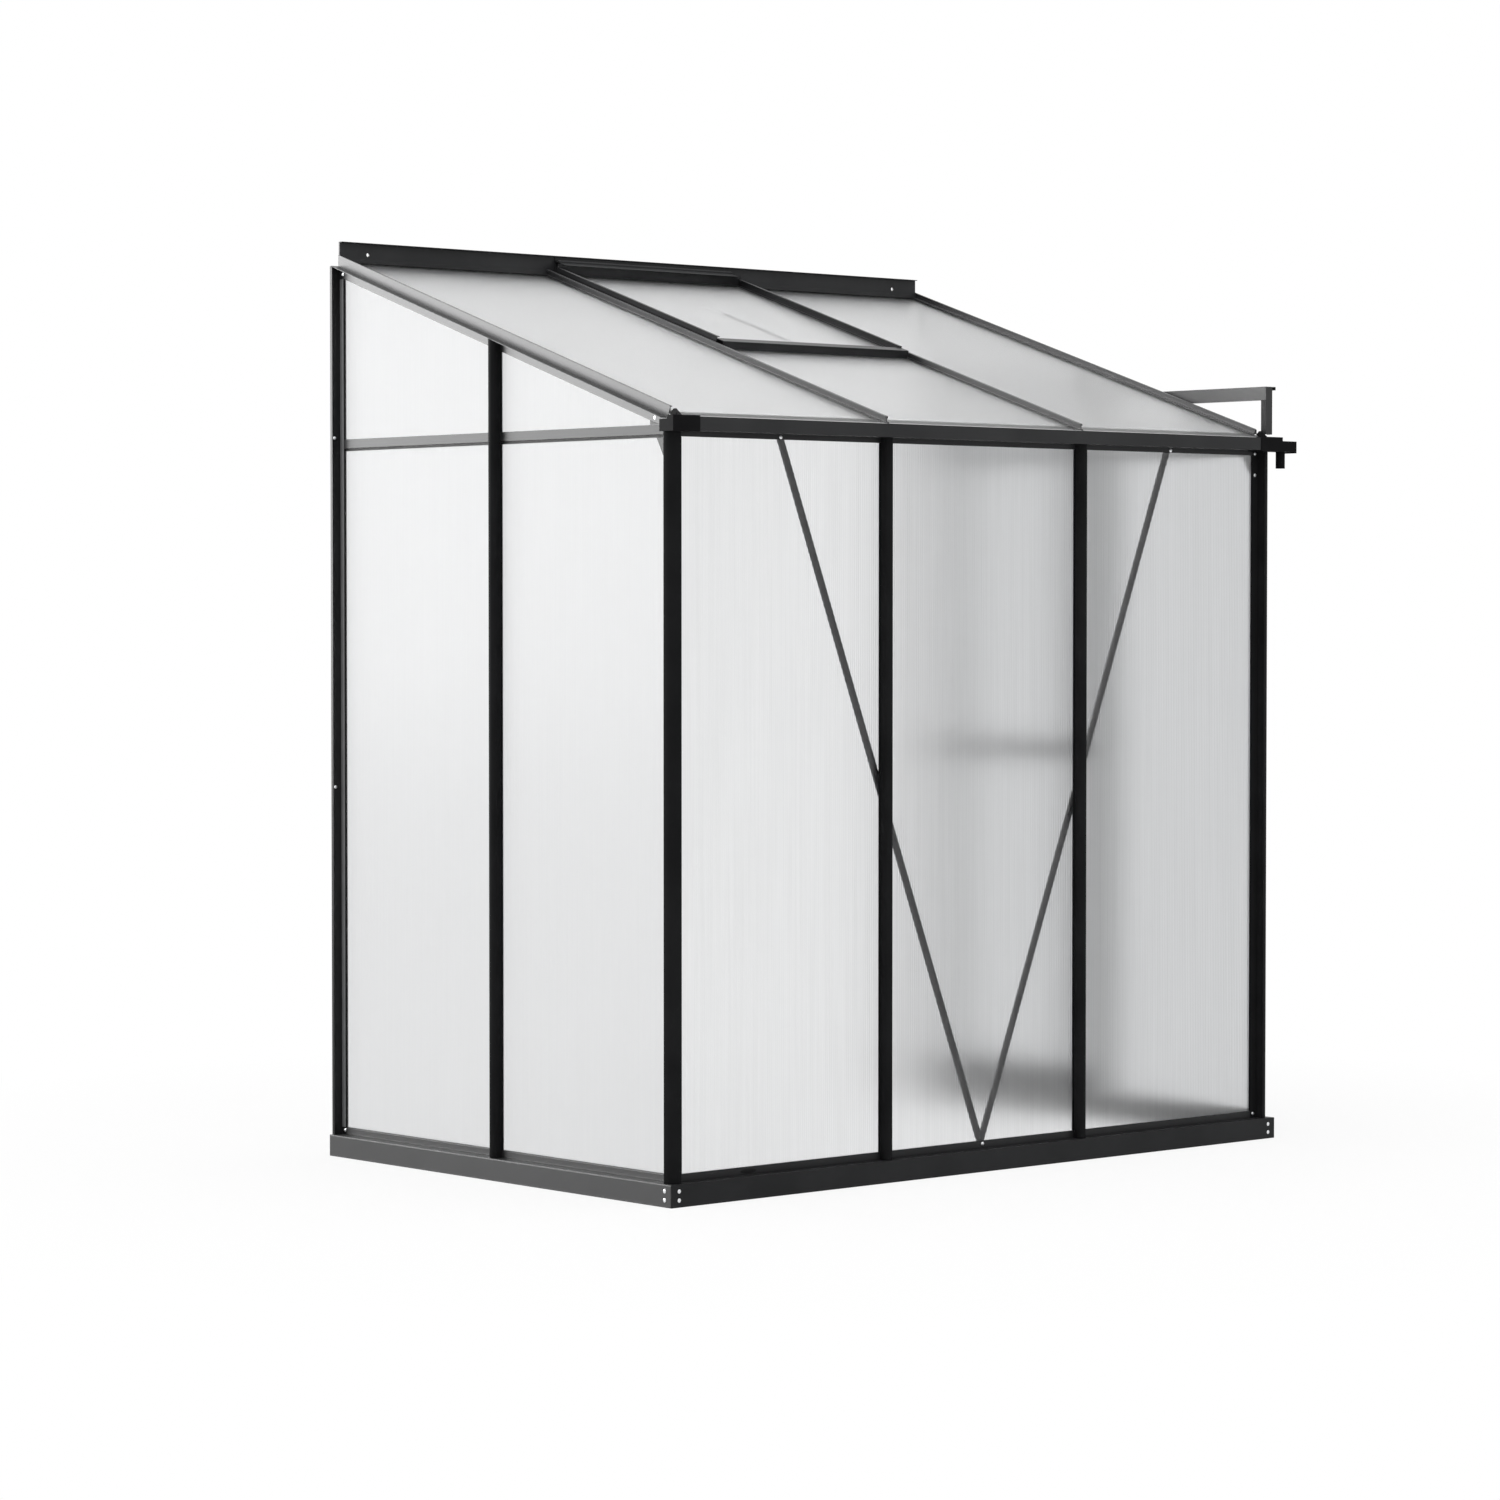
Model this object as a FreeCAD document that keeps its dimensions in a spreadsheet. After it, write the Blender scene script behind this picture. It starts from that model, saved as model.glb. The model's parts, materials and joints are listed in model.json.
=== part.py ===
import FreeCAD, Part
import math
import os
import re
import Sketcher

os.makedirs("parts", exist_ok=True)
doc = FreeCAD.newDocument("LeanToGreenhouse")

# Driving dimensions in mm and degrees. Lengths along X and Y are counted from the middle of the base.
SIZES = {
    # base frame and sills
    "base_length": 1900.0,
    "base_depth": 1218.0,
    "base_height": 48.8,
    "base_ledge": 42.0,
    "base_wall": 2.0,
    "bracket_leg": 45.0,
    "sill_height": 17.0,
    "sill_foot": 15.5,
    # glazing and glazing bars
    "glazing_inset": 29.5,
    "panel_thick": 4.0,
    "panel_play": 1.0,
    "bar_wall": 1.5,
    "bar_web": 4.0,
    "nose_width": 24.0,
    "nose_reach": 22.0,
    "glazing_lap": 5.0,
    "corner_radius": 26.0,
    "corner_wing": 23.5,
    "corner_groove": 9.0,
    "wall_wing": 16.0,
    "wall_nose": 8.0,
    "wall_core": 12.0,
    "post_inset": 2.5,
    "side_stud_y": 16.5,
    # eave beam with its gutter
    "eave_bottom": 1631.7,
    "gutter_floor": 1643.0,
    "gutter_top": 1673.0,
    "gutter_width": 42.5,
    "gutter_lip": 8.0,
    "eave_rise": 31.38,
    "eave_groove": 14.0,
    "eave_rest_out": 4.5,
    "eave_rest_in": 23.5,
    "eave_end_play": 1.0,
    "cap_wall": 2.0,
    "cap_sleeve": 71.0,
    "cap_length": 7.0,
    "cap_step": 6.0,
    "outlet_length": 54.0,
    "outlet_neck": 5.0,
    "outlet_lift": 3.0,
    "outlet_top": 1666.0,
    "outlet_bottom": 1638.0,
    "spout_diameter": 22.0,
    "spout_reach": 22.0,
    "spout_bottom": 1601.6,
    "ear_reach": 34.0,
    "ear_top": 1690.0,
    "ear_inset": 8.5,
    "ear_chamfer": 8.0,
    "ear_crown": 15.0,
    "ear_proud": 1.0,
    # side rails at eave height
    "girt_bottom": 1630.0,
    "girt_face_bottom": 1636.5,
    "girt_top": 1657.0,
    "girt_web": 1646.0,
    # roof
    "roof_pitch": 18.19,
    "rib_rise": 13.3,
    "rib_web": 2.5,
    "rib_head": 8.0,
    "rib_head_thick": 4.0,
    "rib_foot": 14.0,
    "rib_setback": 14.5,
    "roof_overhang": 12.5,
    "rafter_foot": 28.0,
    "rafter_rest": 31.5,
    "rafter_overrun": 20.0,
    "stem_width": 16.0,
    "stem_drop": 16.0,
    "lip_reach": 19.5,
    "lip_inset": 2.0,
    "lip_drop": 7.3,
    "skirt_lead": 5.0,
    "skirt_drop": 29.3,
    "beam_rise": 49.9,
    "beam_drop": 23.6,
    "beam_wall": 4.0,
    "beam_hood": 12.0,
    "beam_seal_reach": 7.0,
    "beam_seal_rise": 12.1,
    "beam_seal_gap": 0.3,
    "ledger_reach": 20.0,
    "beam_hole": 9.0,
    "beam_hole_rise": 23.4,
    "beam_hole_inset": 114.0,
    # wind braces and corner plates
    "brace_width": 19.0,
    "brace_thick": 2.0,
    "brace_inset": 2.0,
    "brace_lap": 6.0,
    "brace_top_z": 1638.0,
    "brace_foot_z": 59.0,
    "gusset_leg": 49.5,
    "gusset_drop": 77.0,
    "gusset_top": 1650.0,
    "gusset_thick": 1.5,
    "gusset_gap": 2.0,
    # sliding door, its track and strut
    "door_gap": 4.0,
    "door_thick": 20.0,
    "door_lap": 56.5,
    "door_wall_gap": 14.0,
    "door_bottom": 56.0,
    "door_top": 1758.0,
    "stile_width": 45.0,
    "top_rail": 32.0,
    "mid_rail": 40.0,
    "mid_rail_height": 913.0,
    "bottom_rail": 60.0,
    "panel_groove": 8.0,
    "door_wall": 1.5,
    "guide_thick": 2.0,
    "guide_top": 62.0,
    "track_bottom": 1765.0,
    "track_top": 1797.0,
    "track_hood": 35.5,
    "track_hood_lip": 8.0,
    "track_shelf": 14.5,
    "track_bead": 2.5,
    "track_lead": 0.5,
    "track_end_play": 4.0,
    "strut_depth": 16.0,
    "strut_width": 22.0,
    "strut_gap": 1.0,
    "strut_bottom": 1683.0,
    "strut_foot_rise": 11.0,
    "roller_diameter": 18.0,
    "roller_width": 6.0,
    "roller_inset": 60.0,
    "roller_offset": 2.0,
    "axle_diameter": 5.0,
    "axle_play": 0.05,
    "axle_inset": 0.5,
    "hanger_width": 40.0,
    "hanger_thick": 2.0,
    "hanger_offset": 13.5,
    "hanger_rise": 9.0,
    "handle_length": 120.0,
    "handle_height": 960.0,
    "handle_reach": 24.0,
    "handle_bar": 12.0,
    "handle_bevel": 6.0,
    "handle_grip": 7.0,
    "handle_foot": 16.0,
    # roof vent
    "vent_side_gap": 13.5,
    "vent_lower": 20.0,
    "vent_wall_gap": 17.0,
    "vent_lift": 0.5,
    "vent_seat": 5.0,
    "vent_side_rise": 23.0,
    "vent_front_top": 20.0,
    "vent_flange": 8.0,
    "vent_front_flange": 26.0,
    "vent_front_foot": 10.0,
    "hinge_reach": 7.0,
    "hinge_rise": 36.4,
    "hinge_bead": 2.5,
    "hinge_play": 0.3,
    "hinge_hook": 1.5,
    "hinge_end_gap": 26.0,
    "hinge_strip_play": 1.0,
    "hook_end_play": 4.0,
    "cross_bar_y": 8.0,
    "cross_flange": 16.0,
    "cross_drop": 12.0,
    "stay_run": 36.0,
    "stay_length": 288.0,
    "stay_width": 14.0,
    "stay_thick": 1.8,
    "stay_eye": 4.0,
    "stay_pin": 2.0,
    "stay_play": 1.0,
    "stay_ear": 6.0,
    "stay_lug": 3.0,
    "stay_lap": 4.0,
    "stay_hole": 6.0,
    # bolt heads
    "bolt_head": 9.0,
    "bolt_rise": 2.0,
    "foot_bolt_rise": 10.0,
    "base_bolt_inset": 22.0,
    "base_bolt_low": 15.2,
    "base_bolt_high": 34.5,
    "corner_bolt_drop": 46.7,
    "corner_bolt_rise": 4.3,
    "brace_bolt_out": 3.0,
    "brace_bolt_rise": 5.3,
    "rafter_bolt_inset": 56.5,
    "rafter_bolt_lift": 9.0,
}

# Values that follow from the driving dimensions.
DERIVED = {
    "half_x": "base_length / 2",
    "half_y": "base_depth / 2",
    "face_y": "base_depth / 2 - glazing_inset",
    "face_x": "base_length / 2 - glazing_inset",
    "bay_offset": "(face_x - post_inset) / 3",
    "groove_in": "bar_wall",
    "groove_out": "bar_wall + panel_thick",
    "bar_depth": "bar_wall * 2 + panel_thick",
    "sill_top": "base_height + sill_height",
    "slope": "tan(roof_pitch)",
    "rise": "sin(roof_pitch)",
    "run": "cos(roof_pitch)",
    "roof_height": "gutter_floor + eave_rise + face_y * slope",
    "rafter_front": "face_y - rib_setback",
    "roof_front": "face_y + roof_overhang",
    "gable_wall": "face_x - lip_inset",
    "gable_lip": "face_x + lip_reach",
    "post_top": "gutter_floor - cap_wall",
    "gutter_y": "face_y + gutter_width",
    "rib_top": "panel_thick + rib_rise",
    "beam_face_y": "half_y - beam_wall",
    "ledger_y": "half_y - beam_wall - ledger_reach",
    "wall_seat": "roof_height + beam_face_y * slope",
    "beam_top": "wall_seat + beam_rise",
    "beam_bottom": "wall_seat - beam_drop",
    "beam_seal_top": "wall_seat + beam_seal_rise",
    "beam_length": "(gable_wall - bar_wall) * 2",
    "beam_hole_height": "wall_seat + beam_hole_rise",
    "beam_hole_offset": "half_x - beam_hole_inset",
    "eave_rest_y": "face_y - eave_rest_in",
    "post_core_x": "face_x - bar_depth - panel_play / 2",
    "cap_reach": "half_x + cap_length",
    "outlet_reach": "half_x + outlet_length",
    "spout_offset": "half_x + spout_reach",
    "brace_top_x": "bay_offset * 2 - brace_inset",
    "track_front": "face_y + track_lead",
    "door_front": "door_lap - side_stud_y",
    "door_rear": "half_y - door_wall_gap",
    "nose_out_x": "face_x + nose_reach",
    "track_x": "face_x + nose_reach + bar_wall",
    "door_in_x": "face_x + nose_reach + door_gap",
    "door_out_x": "face_x + nose_reach + door_gap + door_thick",
    "door_panel_x": "face_x + nose_reach + door_gap + door_thick / 2 - panel_thick / 2",
    "axle_z": "track_bottom + bar_wall + roller_diameter / 2",
    "vent_half": "bay_offset - vent_side_gap",
    "vent_upper": "beam_face_y - vent_wall_gap",
    "hinge_y": "beam_face_y - hinge_reach",
    "hinge_z": "wall_seat + hinge_rise",
    "hinge_half": "bay_offset - hinge_end_gap",
    "hinge_run": "hinge_y * run + (hinge_z - roof_height) * rise",
    "hinge_lift": "(hinge_z - roof_height) * run - hinge_y * rise",
    "vent_top_run": "vent_upper / run",
    "vent_low_run": "-vent_lower / run",
    "shift_x": "(cap_reach - outlet_reach) / 2",
    "shift_y": "(gutter_y + cap_wall - half_y) / 2",
}

sheet = doc.addObject("Spreadsheet::Sheet", "Sizes")
for row, (name, size) in enumerate(SIZES.items(), start=1):
    sheet.set(f"A{row}", name)
    sheet.set(f"B{row}", str(size))
    sheet.setAlias(f"B{row}", name)
doc.recompute()


def ex(text):
    """Expression for the model: size names get the sheet's name, derived names are written out."""
    def swap(match):
        word = match.group(0)
        if word in DERIVED:
            return f"({ex(DERIVED[word])})"
        return f"Sizes.{word}" if word in SIZES else word
    return re.sub(r"[a-z][a-z_0-9]*", swap, str(text))


def num(owner, text):
    """Present value of an expression."""
    value = owner.evalExpression(ex(text))
    return float(getattr(value, "Value", value))


def bind(item, path, text):
    """Tie a property to an expression of the sheet."""
    item.setExpression(path, ex(text))


def new_body(name, at=("0", "0", "0"), tilted=False):
    """Empty part in the object's frame; a tilted one lies in the roof plane."""
    body = doc.addObject("PartDesign::Body", name)
    body.Label = name
    body.AllowCompound = True
    if tilted:
        body.Placement.Rotation = FreeCAD.Rotation(FreeCAD.Vector(1, 0, 0), num(body, "roof_pitch"))
        bind(body, "Placement.Rotation.Angle", "roof_pitch")
        at = ("0", "0", "roof_height")
    bind(body, "Placement.Base.x", f"shift_x + {at[0]}")
    bind(body, "Placement.Base.y", f"shift_y + {at[1]}")
    bind(body, "Placement.Base.z", at[2])
    return body


def arc_between(start, end, radius):
    """Arc of the given radius from start to end, its centre on the left for a positive radius."""
    mid = (start + end) / 2
    chord = end - start
    left = FreeCAD.Vector(-chord.y, chord.x, 0).normalize()
    rise = math.sqrt(max(radius ** 2 - (chord.Length / 2) ** 2, 0.0))
    centre = mid + left * math.copysign(rise, radius)
    circle = Part.Circle(centre, FreeCAD.Vector(0, 0, 1), abs(radius))
    first, last = (start, end) if radius > 0 else (end, start)
    a0 = math.atan2(first.y - centre.y, first.x - centre.x)
    a1 = math.atan2(last.y - centre.y, last.x - centre.x)
    return Part.ArcOfCircle(circle, a0, a1)


def draw_loop(sketch, corners):
    """Closed outline; a corner (u, v) starts a straight side, a corner (u, v, radius) an arc."""
    points = [FreeCAD.Vector(num(sketch, c[0]), num(sketch, c[1]), 0) for c in corners]
    ends = []
    for i, corner in enumerate(corners):
        start, end = points[i], points[(i + 1) % len(points)]
        if len(corner) == 3:
            radius = num(sketch, corner[2])
            index = sketch.addGeometry(arc_between(start, end, radius))
            ends.append((index, 1, 2) if radius > 0 else (index, 2, 1))
            tie = sketch.addConstraint(Sketcher.Constraint("Radius", index, abs(radius)))
            bind(sketch, f"Constraints[{tie}]", f"abs({corner[2]})")
        else:
            index = sketch.addGeometry(Part.LineSegment(start, end))
            ends.append((index, 1, 2))
    for i, (index, first, last) in enumerate(ends):
        nxt = ends[(i + 1) % len(ends)]
        sketch.addConstraint(Sketcher.Constraint("Coincident", index, last, nxt[0], nxt[1]))
        for kind, text, value in (("DistanceX", corners[i][0], points[i].x), ("DistanceY", corners[i][1], points[i].y)):
            tie = sketch.addConstraint(Sketcher.Constraint(kind, -1, 1, index, first, value))
            bind(sketch, f"Constraints[{tie}]", text)


def draw_circle(sketch, u, v, radius):
    """Circle about (u, v)."""
    centre = FreeCAD.Vector(num(sketch, u), num(sketch, v), 0)
    index = sketch.addGeometry(Part.Circle(centre, FreeCAD.Vector(0, 0, 1), num(sketch, radius)))
    for kind, text, value in (("DistanceX", u, centre.x), ("DistanceY", v, centre.y)):
        tie = sketch.addConstraint(Sketcher.Constraint(kind, -1, 1, index, 3, value))
        bind(sketch, f"Constraints[{tie}]", text)
    tie = sketch.addConstraint(Sketcher.Constraint("Radius", index, num(sketch, radius)))
    bind(sketch, f"Constraints[{tie}]", radius)


def new_sketch(body, plane, loops, circles, start):
    """Sketch on one of the part's own planes, moved along its positive axis to start."""
    sketch = body.newObject("Sketcher::SketchObject", f"{body.Name}_sketch")
    origin_plane = next(f for f in body.Origin.OriginFeatures if f.Role == f"{plane}_Plane")
    sketch.AttachmentSupport = [(origin_plane, "")]
    sketch.MapMode = "FlatFace"
    bind(sketch, "AttachmentOffset.Base.z", f"-({start})" if plane == "XZ" else start)
    for corners in loops:
        draw_loop(sketch, corners)
    for circle in circles:
        draw_circle(sketch, *circle)
    return sketch


def bar(body, plane, start, end, *loops, circles=()):
    """Prism along the plane's axis from start to end."""
    sketch = new_sketch(body, plane, loops, circles, start)
    pad = body.newObject("PartDesign::Pad", f"{body.Name}_pad")
    pad.Profile = sketch
    pad.Reversed = plane == "XZ"
    bind(pad, "Length", f"({end}) - ({start})")
    return pad


def cut(body, plane, *loops, circles=()):
    """Opening through the whole part along the plane's axis."""
    sketch = new_sketch(body, plane, loops, circles, "0")
    pocket = body.newObject("PartDesign::Pocket", f"{body.Name}_cut")
    pocket.Profile = sketch
    pocket.SideType = "Symmetric"
    pocket.Type = "ThroughAll"
    return pocket


def box_loop(u0, v0, u1, v1):
    """Rectangle between two corners."""
    return [(u0, v0), (u1, v0), (u1, v1), (u0, v1)]


def sided(side, corners):
    """Outline given by its distance from the middle, put on the left (-1) or right (1) side."""
    placed = []
    for corner in corners:
        turned = [f"{side} * ({corner[0]})", corner[1]]
        if len(corner) == 3:
            turned.append(f"{side} * ({corner[2]})")
        placed.append(tuple(turned))
    return placed


def span(side, near, far):
    """Start and end along X of something between two distances from the middle."""
    return (near, far) if side > 0 else (f"-({far})", f"-({near})")


def fronted(corners):
    """Outline given as (distance towards the front, height), put on the front side."""
    return sided(-1, corners)


def in_roof(corners):
    """Outline given by Y and Z of the object, turned into the roof's own run and lift."""
    turned = []
    for y, z in corners:
        run = f"({y}) * run + (({z}) - roof_height) * rise"
        lift = f"(({z}) - roof_height) * run - ({y}) * rise"
        turned.append((run, lift))
    return turned


# Base frame: three channels, open inwards, mitred at the front corners
def base_channel(out):
    return [(out, "0"), (out, "base_height"), (f"{out} - base_ledge", "base_height"),
            (f"{out} - base_ledge", "base_height - base_wall"), (f"{out} - base_wall", "base_height - base_wall"),
            (f"{out} - base_wall", "base_wall"), (f"{out} - base_ledge", "base_wall"), (f"{out} - base_ledge", "0")]


def base_front():
    body = new_body("base_front")
    bar(body, "YZ", "-half_x", "half_x", fronted(base_channel("half_y")))
    for side in (-1, 1):
        cut(body, "XY", sided(side, [("half_x", "-half_y"), ("half_x", "base_ledge - half_y"),
                                     ("half_x - base_ledge", "base_ledge - half_y")]))


def base_side(name, side):
    body = new_body(name)
    bar(body, "XZ", "-half_y", "half_y", sided(side, base_channel("half_x")))
    cut(body, "XY", sided(side, [("half_x", "-half_y"), ("half_x - base_ledge", "base_ledge - half_y"),
                                 ("half_x - base_ledge", "-half_y")]))


def base_brackets():
    body = new_body("base_brackets")
    for side in (-1, 1):
        x, y = "half_x - base_wall", "base_wall - half_y"
        bar(body, "XY", "base_wall", "base_height - base_wall",
            sided(side, [(x, y), (x, f"{y} + bracket_leg"), (f"{x} - base_wall", f"{y} + bracket_leg"),
                         (f"{x} - base_wall", f"{y} + base_wall"), (f"{x} - bracket_leg", f"{y} + base_wall"),
                         (f"{x} - bracket_leg", y)]))


# Sills: the groove that holds the lower panel edges
def sill_section(face):
    return [(face, "base_height"), (face, "sill_top"), (f"{face} - groove_in", "sill_top"),
            (f"{face} - groove_in", "base_height + bar_wall"), (f"{face} - groove_out", "base_height + bar_wall"),
            (f"{face} - groove_out", "sill_top"), (f"{face} - bar_depth", "sill_top"),
            (f"{face} - bar_depth", "base_height + bar_wall"), (f"{face} - sill_foot", "base_height + bar_wall"),
            (f"{face} - sill_foot", "base_height")]


def sill_front():
    body = new_body("sill_front")
    bar(body, "YZ", "-(face_x - corner_wing)", "face_x - corner_wing", fronted(sill_section("face_y")))


def sill_side(name, side):
    body = new_body(name)
    bar(body, "XZ", "-(face_y - corner_wing)", "half_y - wall_wing - wall_nose", sided(side, sill_section("face_x")))
    return body


def door_sill():
    body = sill_side("sill_right", 1)
    low, high = "(door_panel_x + panel_thick / 2 - guide_thick / 2)", "door_panel_x + panel_thick / 2 + guide_thick / 2"
    bar(body, "XZ", "-(face_y - corner_wing)", "half_y - wall_nose - panel_play",
        [("face_x", "base_height"), (high, "base_height"), (high, "guide_top"), (low, "guide_top"),
         (low, "base_height + bar_wall"), ("face_x", "base_height + bar_wall")])


# Corner posts: rounded nose with a glazing groove to each side
def corner_post(name, side):
    def at(a, b, *radius):
        return (f"face_x + ({a})", f"-(face_y + ({b}))", *radius)
    off = "(corner_radius - nose_reach)"
    inner = f"sqrt((corner_radius - bar_wall)^2 - bar_wall^2) - {off}"
    outline = [at("-corner_wing", "0"), at(f"-{off}", "0"), at(f"-{off}", "nose_reach", "corner_radius"),
               at("nose_reach", f"-{off}"), at("0", f"-{off}"), at("0", "-corner_wing"),
               at("-groove_in", "-corner_wing"), at("-groove_in", "-corner_groove"), at("-groove_out", "-corner_groove"),
               at("-groove_out", "-corner_wing"), at("-bar_depth", "-corner_wing"), at("-bar_depth", "-bar_depth"),
               at("-corner_wing", "-bar_depth"), at("-corner_wing", "-groove_out"),
               at("-corner_groove", "-groove_out"), at("-corner_groove", "-groove_in"), at("-corner_wing", "-groove_in")]
    hollow = [at(f"bar_wall - {off}", inner, "corner_radius - bar_wall"), at(inner, f"bar_wall - {off}"),
              at(f"bar_wall - {off}", f"bar_wall - {off}")]
    body = new_body(name)
    bar(body, "XY", "base_height", "post_top", sided(side, outline), sided(side, hollow))


# Glazing bar across its length: rounded nose, then web and inner flange behind the panels
def nose_section(middle, face):
    half, straight = "nose_width / 2", f"{face} + nose_reach - nose_width / 2"
    tip, thin = f"{face} + nose_reach", "(nose_width / 2 - bar_wall)"
    return [(f"{middle} - {half}", face), (f"{middle} - {half}", straight, f"-{half}"), (middle, tip, f"-{half}"),
            (f"{middle} + {half}", straight), (f"{middle} + {half}", face), (f"{middle} + {thin}", face),
            (f"{middle} + {thin}", straight, thin), (middle, f"{tip} - bar_wall", thin),
            (f"{middle} - {thin}", straight), (f"{middle} - {thin}", face)]


def web_section(middle, face):
    half, web = "nose_width / 2", "bar_web / 2"
    return [(f"{middle} - {half}", face), (f"{middle} + {half}", face), (f"{middle} + {half}", f"{face} - groove_in"),
            (f"{middle} + {web}", f"{face} - groove_in"), (f"{middle} + {web}", f"{face} - groove_out"),
            (f"{middle} + {half}", f"{face} - groove_out"), (f"{middle} + {half}", f"{face} - bar_depth"),
            (f"{middle} - {half}", f"{face} - bar_depth"), (f"{middle} - {half}", f"{face} - groove_out"),
            (f"{middle} - {web}", f"{face} - groove_out"), (f"{middle} - {web}", f"{face} - groove_in"),
            (f"{middle} - {half}", f"{face} - groove_in")]


def turned_front(corners):
    """Section across a front bar: distance towards the front becomes -Y."""
    return [(c[0], f"-({c[1]})") + tuple(f"-({r})" for r in c[2:]) for c in corners]


def turned_side(side, corners):
    """Section across a side bar: distance outwards becomes X, the middle runs along Y."""
    return [(f"{side} * ({c[1]})", c[0]) + tuple(f"{-side} * ({r})" for r in c[2:]) for c in corners]


def front_stud(name, side):
    middle = f"{side} * bay_offset"
    body = new_body(name)
    bar(body, "XY", "base_height", "gutter_floor", turned_front(nose_section(middle, "face_y")))
    bar(body, "XY", "sill_top", "eave_bottom", turned_front(web_section(middle, "face_y")))


def side_stud(name, side):
    body = new_body(name)
    bar(body, "XY", "sill_top", "girt_bottom", turned_side(side, web_section("side_stud_y", "face_x")))
    bar(body, "XY", "girt_top", "beam_bottom", turned_side(side, web_section("side_stud_y", "face_x")))
    cut(body, "YZ", roof_cutter("-skirt_drop"))
    foot = "base_height + bar_wall" if side > 0 else "base_height"
    bar(body, "XY", foot, "beam_bottom", turned_side(side, nose_section("side_stud_y", "face_x")))
    cut(body, "YZ", roof_cutter("-lip_drop - bar_wall"))


def roof_cutter(lift):
    """Everything above the line that runs parallel to the roof at the given lift."""
    front, back = "-base_depth", "base_depth"
    return [(front, roof_under(front, lift)), (back, roof_under(back, lift)), (back, "beam_top * 2"), (front, "beam_top * 2")]


def wall_post(name, side):
    y0, y1, y2 = "half_y - wall_nose - wall_wing", "half_y - wall_nose", "half_y"
    core = "half_y - wall_core"
    body = new_body(name)
    bar(body, "XY", "base_height", "beam_bottom",
        sided(side, [("face_x", y0), ("face_x", y2), ("face_x - bar_depth", y2), ("face_x - bar_depth", y0),
                     ("face_x - groove_out", y0), ("face_x - groove_out", core), ("face_x - groove_in", core),
                     ("face_x - groove_in", y0)]))
    cut(body, "YZ", roof_cutter("-skirt_drop"))
    bar(body, "XY", "base_height", "beam_top",
        sided(side, box_loop("face_x", y1, "nose_out_x", y2)),
        sided(side, box_loop("face_x + bar_wall", f"{y1} + bar_wall", "nose_out_x - bar_wall", f"{y2} - bar_wall")))
    cut(body, "YZ", roof_cutter("-lip_drop - bar_wall"))


# Eave beam with gutter: the groove for the front panels, the roof rest and the trough
def roof_under(y, lift="0"):
    return f"roof_height + ({y}) * slope + ({lift}) / run"


def eave_beam():
    body = new_body("eave_beam")
    y0, y1, y2, y3 = "-face_y", "groove_in - face_y", "groove_out - face_y", "bar_depth - face_y"
    closed = "gutter_floor + eave_groove"
    front, back = "-face_y - eave_rest_out", "-eave_rest_y"
    bar(body, "YZ", "-(post_core_x - eave_end_play)", "post_core_x - eave_end_play",
        [(y0, "gutter_floor"), (y1, "gutter_floor"), (y1, f"{closed} - bar_wall"), (y2, f"{closed} - bar_wall"),
         (y2, "gutter_floor"), (y3, "gutter_floor"), (y3, closed), (y1, closed), (y1, roof_under(y1, "-bar_wall")),
         (back, roof_under(back, "-bar_wall")), (back, roof_under(back)), (front, roof_under(front)),
         (front, roof_under(front, "-bar_wall")), (y0, roof_under(y0, "-bar_wall"))])
    bar(body, "YZ", "-(face_x - corner_wing)", "face_x - corner_wing",
        box_loop(y0, "eave_bottom", y1, "gutter_floor"), box_loop(y2, "girt_face_bottom", y3, "gutter_floor"))
    out, wall = "-gutter_y", "bar_wall"
    bar(body, "YZ", "-half_x", "half_x",
        [(y0, "gutter_floor"), (y0, "girt_top"), (f"{y0} - {wall}", "girt_top"),
         (f"{y0} - {wall}", f"gutter_floor + {wall}"), (f"{out} + {wall}", f"gutter_floor + {wall}"),
         (f"{out} + {wall}", f"gutter_top - {wall}"), (f"{out} + gutter_lip", f"gutter_top - {wall}"),
         (f"{out} + gutter_lip", "gutter_top"), (out, "gutter_top"), (out, "gutter_floor")])


def gutter_end(body, side, end, *windows):
    """Sleeve around the gutter with its end wall and the ear that covers the rafter."""
    front, back = "-gutter_y - cap_wall", "-face_y"
    inner = "half_x + cap_wall - cap_sleeve"
    bar(body, "YZ", *span(side, inner, end),
        [(front, "gutter_floor - cap_wall"), (back, "gutter_floor - cap_wall"), (back, "gutter_floor"),
         ("-gutter_y", "gutter_floor"), ("-gutter_y", "gutter_top"), ("gutter_lip * 2 - gutter_y", "gutter_top"),
         ("gutter_lip * 2 - gutter_y", "gutter_top + cap_wall"), (front, "gutter_top + cap_wall")])
    bar(body, "YZ", *span(side, f"{end} - cap_wall", end),
        [(front, "gutter_floor - cap_wall"), (back, "gutter_floor - cap_wall"), (back, "gutter_top - cap_step"),
         ("gutter_lip * 2 + cap_wall - gutter_y", "gutter_top - cap_step"),
         ("gutter_lip * 2 - cap_wall - gutter_y", "gutter_top + cap_wall"),
         (front, "gutter_top + cap_wall")], *windows)
    ear_back = "-rafter_front - ear_inset"
    bar(body, "YZ", *span(side, "gable_wall - bar_wall", "gable_wall + ear_proud"),
        [(ear_back, "girt_top"), (ear_back, "ear_top - ear_chamfer"), (f"{ear_back} - ear_chamfer", "ear_top"),
         (f"{ear_back} - ear_crown", "ear_top"), (f"{ear_back} - ear_reach", "gutter_top + cap_wall"),
         (f"{ear_back} - ear_reach", "gutter_floor + bar_wall"), ("-face_y - bar_wall", "gutter_floor + bar_wall"),
         ("-face_y - bar_wall", "girt_top")])


def gutter_cap():
    gutter_end(new_body("gutter_cap"), -1, "cap_reach")


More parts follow.
